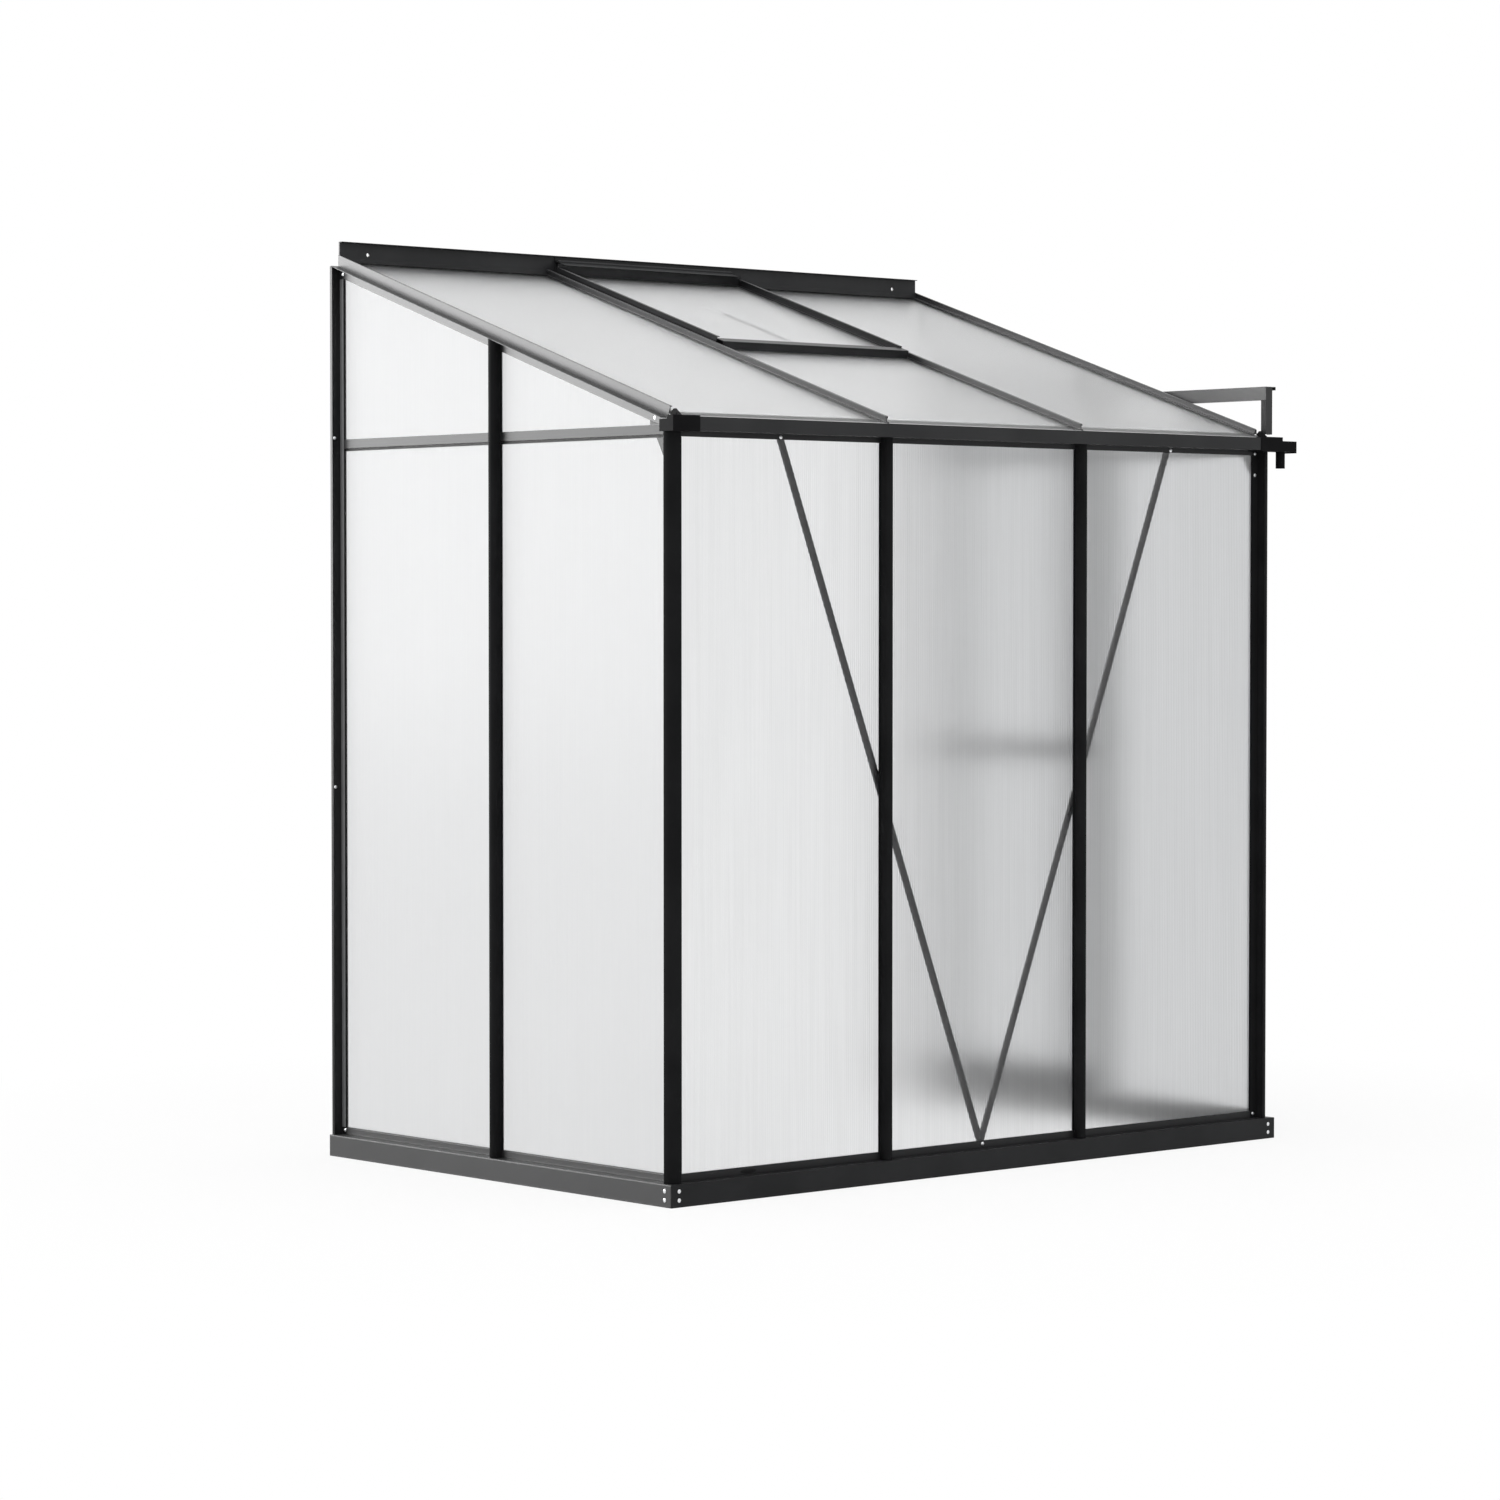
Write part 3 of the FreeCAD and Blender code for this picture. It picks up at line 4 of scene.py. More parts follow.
import bmesh
import bpy
import numpy as np
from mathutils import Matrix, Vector

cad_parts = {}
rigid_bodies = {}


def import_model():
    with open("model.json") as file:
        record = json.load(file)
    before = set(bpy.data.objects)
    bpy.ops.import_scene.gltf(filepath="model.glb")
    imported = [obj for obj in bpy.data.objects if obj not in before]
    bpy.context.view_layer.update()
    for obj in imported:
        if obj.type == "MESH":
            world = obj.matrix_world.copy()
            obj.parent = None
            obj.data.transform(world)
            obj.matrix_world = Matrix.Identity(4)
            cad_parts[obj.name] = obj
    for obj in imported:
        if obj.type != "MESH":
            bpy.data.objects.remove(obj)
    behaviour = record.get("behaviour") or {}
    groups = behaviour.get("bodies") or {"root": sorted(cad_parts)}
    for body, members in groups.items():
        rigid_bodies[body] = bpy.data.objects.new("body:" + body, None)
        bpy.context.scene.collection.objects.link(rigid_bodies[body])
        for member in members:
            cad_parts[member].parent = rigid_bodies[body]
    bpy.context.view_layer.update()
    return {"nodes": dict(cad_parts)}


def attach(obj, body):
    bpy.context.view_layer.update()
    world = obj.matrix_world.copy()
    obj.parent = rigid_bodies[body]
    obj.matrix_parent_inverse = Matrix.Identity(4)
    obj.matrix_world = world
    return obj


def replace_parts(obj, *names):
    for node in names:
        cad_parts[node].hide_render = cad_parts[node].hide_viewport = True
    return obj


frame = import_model()


# Base frame.
# Three channels folded from 2 mm steel, open on their inner side and mitred at the two front corners.
# Angle brackets stand inside the corners. All of it is powder coated black; the two sides get a lighter,
# glossier copy of the coat, painted light for the light they catch.

def connect(tree, node, inputs):
    """Fill a node's inputs: one given as a socket is linked, any other is set as a plain value."""
    for key, value in inputs.items():
        if isinstance(value, bpy.types.NodeSocket):
            tree.links.new(value, node.inputs[key])
        else:
            node.inputs[key].default_value = value


def add(tree, kind, inputs, **settings):
    """One node of a kind, with its own settings and its inputs filled."""
    node = tree.nodes.new(kind)
    for setting, value in settings.items():
        setattr(node, setting, value)
    connect(tree, node, inputs)
    return node


def new_finish(name):
    """A finish with nothing but its shader and its output; gives the material, its tree and the shader."""
    finish = bpy.data.materials.new(name)
    finish.use_nodes = True
    return finish, finish.node_tree, finish.node_tree.nodes["Principled BSDF"]


def place_on(tree, stretch=(1.0, 1.0, 1.0)):
    """Place on the object in metres, times a stretch along X, Y and Z."""
    place = add(tree, "ShaderNodeTexCoord", {}).outputs["Object"]
    return add(tree, "ShaderNodeMapping", {"Vector": place, "Scale": stretch}).outputs["Vector"]


def mottle(tree, place, scale, detail):
    """Noise from 0 to 1 at a place."""
    return add(tree, "ShaderNodeTexNoise", {"Vector": place, "Scale": scale, "Detail": detail}).outputs["Fac"]


def shade(tree, factor, dark, light, dark_at=0.0, light_at=1.0):
    """Colour that goes from dark to light as the factor goes from dark_at to light_at."""
    ramp = add(tree, "ShaderNodeValToRGB", {"Fac": factor})
    first, last = ramp.color_ramp.elements
    first.position, last.position = dark_at, light_at
    first.color, last.color = (*dark, 1.0), (*light, 1.0)
    return ramp.outputs["Color"]


def between(tree, factor, low, high, starts=0.0, ends=1.0):
    """Number that goes from low to high as the factor goes from starts to ends."""
    inputs = {"Value": factor, "From Min": starts, "From Max": ends, "To Min": low, "To Max": high}
    return add(tree, "ShaderNodeMapRange", inputs).outputs["Result"]


def bumped(tree, height, strength, depth, **normal):
    """Normal of a surface that a height of 1 raises by a depth in metres, times a strength."""
    inputs = {"Height": height, "Strength": strength, "Distance": depth, **normal}
    return add(tree, "ShaderNodeBump", inputs).outputs["Normal"]


def powder_coat(name, colour, roughness, gloss, run, edge):
    """Powder coat: 1 mm orange peel in the bump, clouds of dust in the colour, a roughness that changes
    in streaks drawn out along the bar, and edges that the coat rounds to a radius."""
    finish, tree, shader = new_finish(name)
    dust = tuple(part * 1.35 + 0.003 for part in colour)
    peel = mottle(tree, place_on(tree), 900.0, 2.0)
    streak = mottle(tree, place_on(tree, run), 60.0, 3.0)
    rounded = add(tree, "ShaderNodeBevel", {"Radius": edge}, samples=4).outputs["Normal"]
    connect(tree, shader, {
        "Base Color": shade(tree, mottle(tree, place_on(tree), 7.0, 6.0), colour, dust, 0.35, 0.8),
        "Roughness": between(tree, streak, roughness - 0.06, roughness + 0.08),
        "Specular IOR Level": gloss,
        "Normal": bumped(tree, peel, 0.12, 0.0002, Normal=rounded),
    })
    return finish


def finish_parts(finish, slot, *names):
    """Give parts of the greenhouse a finish. The slot is not used."""
    for name in names:
        part = frame["nodes"][name]
        part.data.materials.clear()
        part.data.materials.append(finish)


level_run = (4.0, 4.0, 40.0)
base_coat = powder_coat("base_coat", (0.013, 0.0135, 0.0145), roughness=0.5, gloss=0.14, run=level_run,
                        edge=0.0020)
# The sides' copy of the base coat is painted lighter and glossier: painted light on the sides.
base_lit_side_coat = powder_coat("base_lit_side_coat", (0.018, 0.0185, 0.0195), roughness=0.42, gloss=0.46,
                             run=level_run, edge=0.0045)
finish_parts(base_coat, "base_coat", "base_front", "base_brackets")
finish_parts(base_lit_side_coat, "base_coat", "base_left", "base_right")


# Sills.
# Extruded glazing channels on top of the base, which the sheets stand in. The front one is coated like the
# rails and has a near-black oval dome over its drain slot, left of the middle: painted shade for the shaded
# inside of the slot. The others take the base sides' lighter, glossier copy of the coat, painted light.

slot_shade_middle = (-0.730, -0.572, 0.0568)
slot_shade_half_width = 0.0225
slot_shade_half_height = 0.0052
slot_shade_proud = 0.0008
rail_colour = (0.020, 0.0205, 0.0215)


def closed_rings(rings, around):
    """Quads between rings of points that follow one another, each ring closed on itself."""
    grid = np.arange(rings * around).reshape(rings, around)
    ahead = np.roll(grid, -1, axis=1)
    return np.stack([grid[:-1], ahead[:-1], ahead[1:], grid[1:]], axis=-1).reshape(-1, 4)


def oval_dome(middle, half_width, half_height, proud, rings=8, around=32):
    """Low oval dome on a wall that faces -Y: x = width sin u cos v, z = height sin u sin v, y = -proud cos u,
    for u from the crown, 0, to the rim, pi/2; one more face closes its back."""
    u = np.linspace(0.0, np.pi / 2, rings)[:, None]
    v = np.linspace(0.0, 2 * np.pi, around, endpoint=False)[None]
    x = half_width * np.sin(u) * np.cos(v)
    z = half_height * np.sin(u) * np.sin(v)
    y = -proud * np.cos(u) * np.ones_like(v)
    corners = np.stack([x, y, z], axis=-1) + np.asarray(middle)
    back = np.arange((rings - 1) * around, rings * around)
    return corners, [*closed_rings(rings, around).tolist(), back.tolist()]


def moulded_plastic(name, colour, roughness, gloss):
    """Moulded plastic: spark-eroded grain in the bump, and a haze that lightens and dulls it in patches."""
    finish, tree, shader = new_finish(name)
    haze = mottle(tree, place_on(tree), 25.0, 4.0)
    grain = mottle(tree, place_on(tree), 1400.0, 2.0)
    worn = tuple(part * 1.3 + 0.002 for part in colour)
    connect(tree, shader, {
        "Base Color": shade(tree, haze, colour, worn, 0.3, 0.8),
        "Roughness": between(tree, haze, roughness - 0.05, roughness + 0.1),
        "Specular IOR Level": gloss,
        "Normal": bumped(tree, grain, 0.15, 0.0001),
    })
    return finish


def make_piece(name, corners, faces, finish, slot, body="frame"):
    """Piece from an array of corners and a list of faces: corners that meet are merged, faces are turned
    outward, rounded faces are shaded smooth, and it rides on its body."""
    mesh = bpy.data.meshes.new(name)
    mesh.from_pydata(np.asarray(corners, float).reshape(-1, 3), [], faces)
    work = bmesh.new()
    work.from_mesh(mesh)
    bmesh.ops.remove_doubles(work, verts=work.verts, dist=1e-6)
    bmesh.ops.recalc_face_normals(work, faces=work.faces)
    work.to_mesh(mesh)
    work.free()
    mesh.shade_smooth()
    mesh.set_sharp_from_angle(angle=math.radians(40))
    mesh.materials.append(finish)
    piece = bpy.data.objects.new(name, mesh)
    bpy.context.scene.collection.objects.link(piece)
    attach(piece, body)
    return piece


rail_edge = 0.0008
rail_coat = powder_coat("rail_coat", rail_colour, roughness=0.32, gloss=0.16, run=level_run, edge=rail_edge)
slot_shade_dark = moulded_plastic("slot_shade_dark", (0.008, 0.008, 0.0085), roughness=0.6, gloss=0.15)
finish_parts(rail_coat, "frame_coat", "sill_front")
# The side sills take the base sides' lighter, glossier copy of the coat: painted light.
finish_parts(base_lit_side_coat, "frame_coat", "sill_left", "sill_right")
# A near-black oval dome over the drain slot: painted shade, for the shade inside the slot.
plug = oval_dome(slot_shade_middle, slot_shade_half_width, slot_shade_half_height, slot_shade_proud)
make_piece("drain_slot_shade", *plug, slot_shade_dark, "black_plastic")


# Corner posts and glazing bars.
# Aluminium extrusions with a round nose outside and a groove on both sides, screwed to sill and eave.
# They are matt black, and a near-black strip lies along each edge of the nose over the groove: painted
# shade for the groove's shadow line.

shade_line_width = 0.0026
shade_line_height = 0.0014
shade_line_foot = 0.0662
eave_under = 1.6313
girt_under = 1.6360
girt_over = 1.6574
front_face = -0.5705
left_face = -0.9425
right_face = 0.8955
roof_rise = 0.3286
slope_y = 0.2
gable_rafter_under = 1.8968
upright_run = (40.0, 40.0, 4.0)


def half_round(width, height, steps=9):
    """Outline of a half-round bead: (width / 2 cos t, height sin t), t from 0 to pi."""
    t = np.linspace(0.0, np.pi, steps)
    return np.column_stack([width / 2 * np.cos(t), height * np.sin(t)])


def drawn(outline, starts, ends, side, rise):
    """Strips drawn straight from starts to ends: corner = end of the line + side x + rise y for the outline's
    points (x, y). A quad stands on each edge of the outline, and a cap closes both ends."""
    lines = np.stack([np.asarray(starts, float), np.asarray(ends, float)], axis=1)
    side = np.broadcast_to(np.asarray(side, float), (len(lines), 3))
    rise = np.broadcast_to(np.asarray(rise, float), (len(lines), 3))
    rim = outline[None, :, :1] * side[:, None] + outline[None, :, 1:] * rise[:, None]
    corners = lines[:, :, None] + rim[:, None]
    around = len(outline)
    first = 2 * around * np.arange(len(lines))[:, None, None]
    walls = closed_rings(2, around)[None] + first
    caps = np.arange(2 * around).reshape(1, 2, around) + first
    return corners, [*walls.reshape(-1, 4).tolist(), *caps.reshape(-1, around).tolist()]


def dark_rubber(name):
    """Soft black rubber for the track stops, also used for the painted shade lines by the noses: dull, with a
    bloom of fine grey dust along it.
    """
    finish, tree, shader = new_finish(name)
    bloom = mottle(tree, place_on(tree, (1.0, 1.0, 0.1)), 120.0, 4.0)
    connect(tree, shader, {
        "Base Color": shade(tree, bloom, (0.0035, 0.0035, 0.004), (0.008, 0.008, 0.008), 0.4, 0.9),
        "Roughness": between(tree, bloom, 0.62, 0.8),
        "Specular IOR Level": 0.1,
        "Normal": bumped(tree, bloom, 0.1, 0.0001),
    })
    return finish


def shade_lines(name, edges, facing):
    """Painted shade lines on one wall: near-black strips, each running up from foot to top at a place (x, y)
    just beside a nose.
    """
    edges = np.asarray(edges, float)
    starts = edges[:, [0, 1, 2]]
    ends = edges[:, [0, 1, 3]]
    side = np.cross(facing, (0.0, 0.0, 1.0))
    strips = drawn(half_round(shade_line_width, shade_line_height), starts, ends, side, facing)
    make_piece(name, *strips, rubber_and_shade_lines, "black_plastic")


def roof_under(y):
    """Height of the gable rafter's lower edge over a place y: the one at slope_y plus rise (y - slope_y)."""
    return gable_rafter_under + roof_rise * (y - slope_y)


post_coat = powder_coat("post_coat", (0.011, 0.0112, 0.0118), roughness=0.55, gloss=0.02, run=upright_run,
                        edge=rail_edge)
rubber_and_shade_lines = dark_rubber("rubber_and_shade_lines")
finish_parts(post_coat, "frame_coat", "corner_post_left", "corner_post_right", "stud_front_left",
             "stud_front_right", "stud_left", "stud_right")
# Near-black strips beside every nose: painted shade for the shadow line in each groove.
half_shade_line = shade_line_width / 2
front_edges = (-0.9205 + half_shade_line, -0.3415 - half_shade_line, -0.3175 + half_shade_line, 0.2705 - half_shade_line,
               0.2945 + half_shade_line, 0.8735 - half_shade_line)
side_edges = (-0.5485 + half_shade_line, 0.012 - half_shade_line, 0.036 + half_shade_line, 0.5925 - half_shade_line)
shade_lines("front_shade_lines", [(x, front_face, shade_line_foot, eave_under) for x in front_edges], (0.0, -1.0, 0.0))
shade_lines("left_shade_lines",
     [(left_face, y, shade_line_foot, girt_under) for y in side_edges]
     + [(left_face, y, girt_over, roof_under(y)) for y in side_edges[1:]], (-1.0, 0.0, 0.0))
shade_lines("right_shade_lines",
     [(right_face, y, shade_line_foot, girt_under) for y in side_edges[:2]]
     + [(right_face, y, girt_over, roof_under(y)) for y in side_edges[1:]], (1.0, 0.0, 0.0))


# Wall posts and girts.
# The wall posts are flanged bars that lie against the house wall, held by two pan-head screws each, with a
# flat grey strip on the side flange that is painted sheen, for the light the post's side catches. The girts
# are two-way glazing channels between the lower and the upper gable sheets.

pan_head = [(0.0, 0.0), (0.0042, 0.0), (0.0042, 0.0008), (0.0036, 0.0018), (0.0024, 0.0024),
            (0.0013, 0.0026), (0.0010, 0.0014), (0.0, 0.0014)]
wall_screw_columns = (-0.960, 0.913)
wall_screw_heights = (0.855, 1.6605)
flange_front = 0.6085
left_rail_face = -0.944
right_rail_face = 0.897
sheen_strip = np.array([(-0.0066, 0.0), (0.0066, 0.0), (0.0066, 0.0006), (0.0050, 0.0012), (-0.0050, 0.0012),
                      (-0.0066, 0.0006)])
sheen_strip_y = 0.6005
sheen_strip_foot = 0.0660
sheen_strip_top = 2.0260


def turned(profile, places, axis, around=24):
    """Turned pieces: corner = place + axis height + radius (side cos a + other sin a), for the profile's
    points (radius, height) and for a all the way round."""
    axis = np.asarray(axis, float)
    side = np.roll(axis, 1)
    other = np.cross(axis, side)
    a = np.linspace(0.0, 2 * np.pi, around, endpoint=False)[:, None]
    ring = np.cos(a) * side + np.sin(a) * other
    radius, height = np.asarray(profile, float).T[:, :, None, None]
    shape = height * axis + radius * ring
    corners = np.asarray(places, float)[:, None, None] + shape
    first = len(profile) * around * np.arange(len(places))[:, None, None]
    faces = closed_rings(len(profile), around)[None] + first
    return corners, faces.reshape(-1, 4).tolist()


def zinc_plate(name, colour, roughness):
    """Bright zinc plate: metal with fine crystal marks in its colour, gloss and bump."""
    finish, tree, shader = new_finish(name)
    marks = mottle(tree, place_on(tree), 900.0, 4.0)
    pale = tuple(min(part * 1.15, 1.0) for part in colour)
    connect(tree, shader, {
        "Base Color": shade(tree, marks, colour, pale, 0.3, 0.7),
        "Metallic": 1.0,
        "Roughness": between(tree, marks, roughness - 0.05, roughness + 0.1),
        "Normal": bumped(tree, marks, 0.1, 0.0001),
    })
    return finish


zinc = zinc_plate("zinc", (0.72, 0.73, 0.74), roughness=0.28)
wall_post_coat = powder_coat("wall_post_coat", (0.013, 0.0132, 0.0138), roughness=0.34, gloss=0.18,
                             run=upright_run, edge=rail_edge)
finish_parts(wall_post_coat, "frame_coat", "wall_post_left", "wall_post_right")
finish_parts(rail_coat, "frame_coat", "girt_left", "girt_right")
# The grey strip laid along each wall post's side flange is painted sheen, not a part of the post.
painted_sheen_strip = moulded_plastic("painted_sheen_strip", (0.13, 0.132, 0.135), roughness=0.6, gloss=0.3)
for gable, x, out in (("left", left_rail_face, -1.0), ("right", right_rail_face, 1.0)):
    bead = drawn(sheen_strip, [(x, sheen_strip_y, sheen_strip_foot)], [(x, sheen_strip_y, sheen_strip_top)],
                 (0.0, 1.0, 0.0), (out, 0.0, 0.0))
    make_piece(f"wall_post_sheen_strip_{gable}", *bead, painted_sheen_strip, "black_plastic")
wall_screws = [(x, flange_front, z) for x in wall_screw_columns for z in wall_screw_heights]
make_piece("wall_post_screws", *turned(pan_head, wall_screws, (0.0, -1.0, 0.0)), zinc, "bolt_steel")


# Eave beam with its gutter.
# One extrusion: a glazing groove below, the trough in front and a sloping rest for the roof sheets.

finish_parts(rail_coat, "frame_coat", "eave_beam")


# Gutter ends.
# Moulded caps pushed over the trough, each with an ear that a plastic rivet holds to the corner; the right
# one has the spout. They are dull black plastic.

rivet = [(0.0, 0.0), (0.0026, 0.0), (0.0024, 0.0006), (0.0015, 0.0010), (0.0, 0.0011)]
left_ear_face = -0.943
right_ear_face = 0.896
ear_rivet_y = -0.583
ear_rivet_height = 1.679
end_plastic = moulded_plastic("end_plastic", (0.0045, 0.0045, 0.005), roughness=0.62, gloss=0.05)
finish_parts(end_plastic, "black_plastic", "gutter_cap", "gutter_outlet")
for ear, x, out in (("left", left_ear_face, -1.0), ("right", right_ear_face, 1.0)):
    head = turned(rivet, [(x, ear_rivet_y, ear_rivet_height)], (out, 0.0, 0.0))
    make_piece(f"{ear}_ear_rivet", *head, end_plastic, "black_plastic")


# Wall beam, rafters and braces.
# The wall beam is screwed to the house, and the rafters run from it down to the eave, the middle ones with a
# cap on the front end. Gussets stiffen the gables, and show as plates outside the sheets at the corners.
# The braces are flat bars with two pressed beads, bolted across the front.

bead_width = 0.003
bead_height = 0.001
bead_apart = 0.0045
beads_above_foot = 0.075
beads_below_top = 0.03
brace_foot = (-0.0235, 0.059)
brace_top = 1.638
gusset_below = np.array([(-0.5455, 1.6300), (-0.5197, 1.6300), (-0.5455, 1.5840)])
gusset_above = np.array([(-0.5285, 1.6576), (-0.4984, 1.6576), (-0.4984, 1.6671)])
cap_front = -0.5790
cap_rear = -0.5600
cap_spread = 0.0003
fin_foot = 1.9323
fin_middles = (-0.3295, 0.2825)


def brace_beads(name, top_x, out):
    """Two beads along one brace, on its outer face, from above the crossing to below the top bolt."""
    foot = np.array([brace_foot[0], out, brace_foot[1]])
    top = np.array([top_x, out, brace_top])
    along = (top - foot) / np.linalg.norm(top - foot)
    side = np.cross(along, (0.0, -1.0, 0.0))
    apart = np.array([-bead_apart, bead_apart])[:, None] * side
    strips = drawn(half_round(bead_width, bead_height), foot + along * beads_above_foot + apart,
                   top - along * beads_below_top + apart, side, (0.0, -1.0, 0.0))
    make_piece(name, *strips, rail_coat, "frame_coat")


def fin_outline():
    """Outline (x, z) of a middle rafter's T over the sheets, foot, web and head, grown by the cap's wall."""
    right = np.array([(0.0070, 0.0), (0.0070, 0.0015), (0.00125, 0.0015), (0.00125, 0.0098), (0.0040, 0.0098),
                      (0.0040, 0.0140)])
    right += np.array([(1, 0), (1, 1), (1, 1), (1, -1), (1, -1), (1, 1)]) * cap_spread
    return np.vstack([right, right[::-1] * (-1.0, 1.0)])


def fin_under(y):
    """Height of a middle rafter's foot over a place y: the one at slope_y plus rise (y - slope_y)."""
    return fin_foot + roof_rise * (y - slope_y)


slope_run = (4.0, 40.0, 4.0)
# The rafters' copy of the frame coat is painted lighter and far glossier than the rails': painted light for
# the sheen the rafters catch. The rafter end caps and the door track take it too.
rafter_coat = powder_coat("rafter_coat", (0.026, 0.0265, 0.0275), roughness=0.36, gloss=0.85, run=slope_run,
                          edge=rail_edge)
gable_rafter_coat = powder_coat("gable_rafter_coat", rail_colour, roughness=0.34, gloss=0.29, run=slope_run,
                                edge=rail_edge)
finish_parts(rafter_coat, "frame_coat", "rafter_right", "rafter_mid_left", "rafter_mid_right")
finish_parts(gable_rafter_coat, "frame_coat", "rafter_left")
finish_parts(rail_coat, "frame_coat", "wall_beam", "roof_cross_bar", "eave_gussets", "brace_left",
             "brace_right")
brace_beads("left_brace_beads", top_x=-0.6335, out=-0.565)
brace_beads("right_brace_beads", top_x=0.5865, out=-0.563)
for gable, outside, inside in (("left", -0.9436, -0.9426), ("right", 0.8966, 0.8956)):
    for place, outline in (("below", gusset_below), ("above", gusset_above)):
        plate = drawn(outline, [(inside, 0.0, 0.0)], [(outside, 0.0, 0.0)], (0.0, 1.0, 0.0), (0.0, 0.0, 1.0))
        make_piece(f"{gable}_gusset_{place}_girt", *plate, rail_coat, "frame_coat")
fin_starts = [(x, cap_front, fin_under(cap_front)) for x in fin_middles]
fin_ends = [(x, cap_rear, fin_under(cap_rear)) for x in fin_middles]
fin_caps = drawn(fin_outline(), fin_starts, fin_ends, (1.0, 0.0, 0.0), (0.0, 0.0, 1.0))
make_piece("rafter_end_caps", *fin_caps, rafter_coat, "frame_coat")


# Twin-wall sheets.
# Hollow polycarbonate, 4 mm thick: two milky skins with webs between them. The webs stand upright in the
# walls and run down the slope in the roof, where a milky tape closes the front ends of the sheets.

web_pitch = 0.0057
glow_share = 0.06
tape_thick = 0.00015
tape_off = 0.00003
tape_under = 0.0070
tape_over = 0.0025
roof_front = -0.5845
roof_front_under = 1.67027
roof_front_over = 1.67448


def twin_wall(name, colour, across, along, roughness, coat, marked):
    """Twin-wall sheet seen through: cos(2 pi place / pitch) makes the webs, drawn-out noise the streaks
    between them, and a rough clear body with a thin gloss coat the milky skins. The webs follow one another
    on axis across and run on axis along, 0 for X, 1 for Y and 2 for Z; marked is how light they stay."""
    finish, tree, shader = new_finish(name)
    place = add(tree, "ShaderNodeTexCoord", {}).outputs["Object"]
    axes = add(tree, "ShaderNodeSeparateXYZ", {"Vector": place})
    turns = {0: axes.outputs[across], 1: 2 * math.pi / web_pitch}
    turn = add(tree, "ShaderNodeMath", turns, operation="MULTIPLY")
    wave = add(tree, "ShaderNodeMath", {0: turn.outputs[0]}, operation="COSINE").outputs[0]
    drawn_out = [180.0, 180.0, 180.0]
    drawn_out[along] = 2.4
    streak = between(tree, mottle(tree, place_on(tree, tuple(drawn_out)), 1.0, 4.0), 0.0, 0.14, 0.35, 0.65)
    web = between(tree, wave, 0.0, 0.12, 0.55, 1.0)
    mark = add(tree, "ShaderNodeMath", {0: web, 1: streak}, operation="ADD").outputs[0]
    skin = shade(tree, mark, colour, tuple(part * marked for part in colour), 0.0, 0.4)
    cloud = mottle(tree, place_on(tree), 2.5, 3.0)
    connect(tree, shader, {
        "Base Color": skin,
        "Transmission Weight": 1.0,
        "IOR": 1.12,
        "Roughness": between(tree, cloud, roughness - 0.03, roughness + 0.03),
        "Coat Weight": coat,
        "Coat IOR": 1.45,
        "Coat Roughness": 0.22,
        "Normal": bumped(tree, wave, 0.5, 0.0003),
    })
    glow = add(tree, "ShaderNodeBsdfTranslucent", {"Color": skin})
    mix = add(tree, "ShaderNodeMixShader", {"Fac": glow_share, 1: shader.outputs[0], 2: glow.outputs[0]})
    tree.links.new(mix.outputs[0], tree.nodes["Material Output"].inputs["Surface"])
    return finish


def milky_tape(name):
    """White tape that light goes into: matt, with small creases across it."""
    finish, tree, shader = new_finish(name)
    crease = mottle(tree, place_on(tree, (30.0, 200.0, 200.0)), 1.0, 3.0)
    connect(tree, shader, {
        "Base Color": shade(tree, crease, (0.62, 0.625, 0.63), (0.68, 0.68, 0.68), 0.3, 0.7),
        "Roughness": between(tree, crease, 0.4, 0.55),
        "Normal": bumped(tree, crease, 0.2, 0.0002),
    })
    return finish


def end_tape():
    """Outline (y, z) of the tape folded round the front edge of a roof sheet, lying tape_off clear of it."""
    under = roof_front_under - tape_off
    over = roof_front_over + tape_off
    front = roof_front - tape_off
    inner = [(roof_front + tape_under, under + roof_rise * tape_under), (front, under),
             (front, over), (roof_front + tape_over, over + roof_rise * tape_over)]
    shift = tape_thick * np.array([(0.0, -1.0), (-1.0, -1.0), (-1.0, 1.0), (0.0, 1.0)])
    return np.array(inner + (np.array(inner) + shift)[::-1].tolist())


# The three sheet finishes are one twin-wall sheet in three tones and gloss coats, set face by face to the
# light each face gets: painted light, with the front lightest and the roof darkest.
front_sheet = twin_wall("front_sheet", (0.875, 0.88, 0.885), across=0, along=2, roughness=0.34, coat=0.6,
                        marked=0.80)
gable_sheet = twin_wall("gable_sheet", (0.815, 0.82, 0.825), across=1, along=2, roughness=0.36, coat=0.06,
                        marked=0.95)
roof_sheet = twin_wall("roof_sheet", (0.80, 0.805, 0.81), across=0, along=1, roughness=0.36, coat=0.45,
                       marked=0.95)
finish_parts(front_sheet, "twinwall_sheet", "panel_front_left", "panel_front_mid", "panel_front_right")
finish_parts(gable_sheet, "twinwall_sheet", "panel_left_front", "panel_left_rear", "panel_left_front_upper",
             "panel_left_rear_upper", "panel_right_front", "panel_right_front_upper", "panel_over_door",
             "door_panel_lower", "door_panel_upper")
finish_parts(roof_sheet, "twinwall_sheet", "panel_roof_left", "panel_roof_mid", "panel_roof_right",
             "vent_panel")
tape_starts = [(x, 0.0, 0.0) for x in (-0.939, -0.326, 0.286)]
tape_ends = [(x, 0.0, 0.0) for x in (-0.333, 0.279, 0.892)]
tape = drawn(end_tape(), tape_starts, tape_ends, (0.0, 1.0, 0.0), (0.0, 0.0, 1.0))
make_piece("roof_end_tape", *tape, milky_tape("milky_tape"), "twinwall_sheet")


# Roof vent.
# A framed sheet that turns on a rolled hinge under the wall beam, and a flat stay with four holes that
# hangs from its front rail. Frame, hinge and stay have the rails' coat.

finish_parts(rail_coat, "frame_coat", "vent_frame", "vent_hinge", "vent_stay")


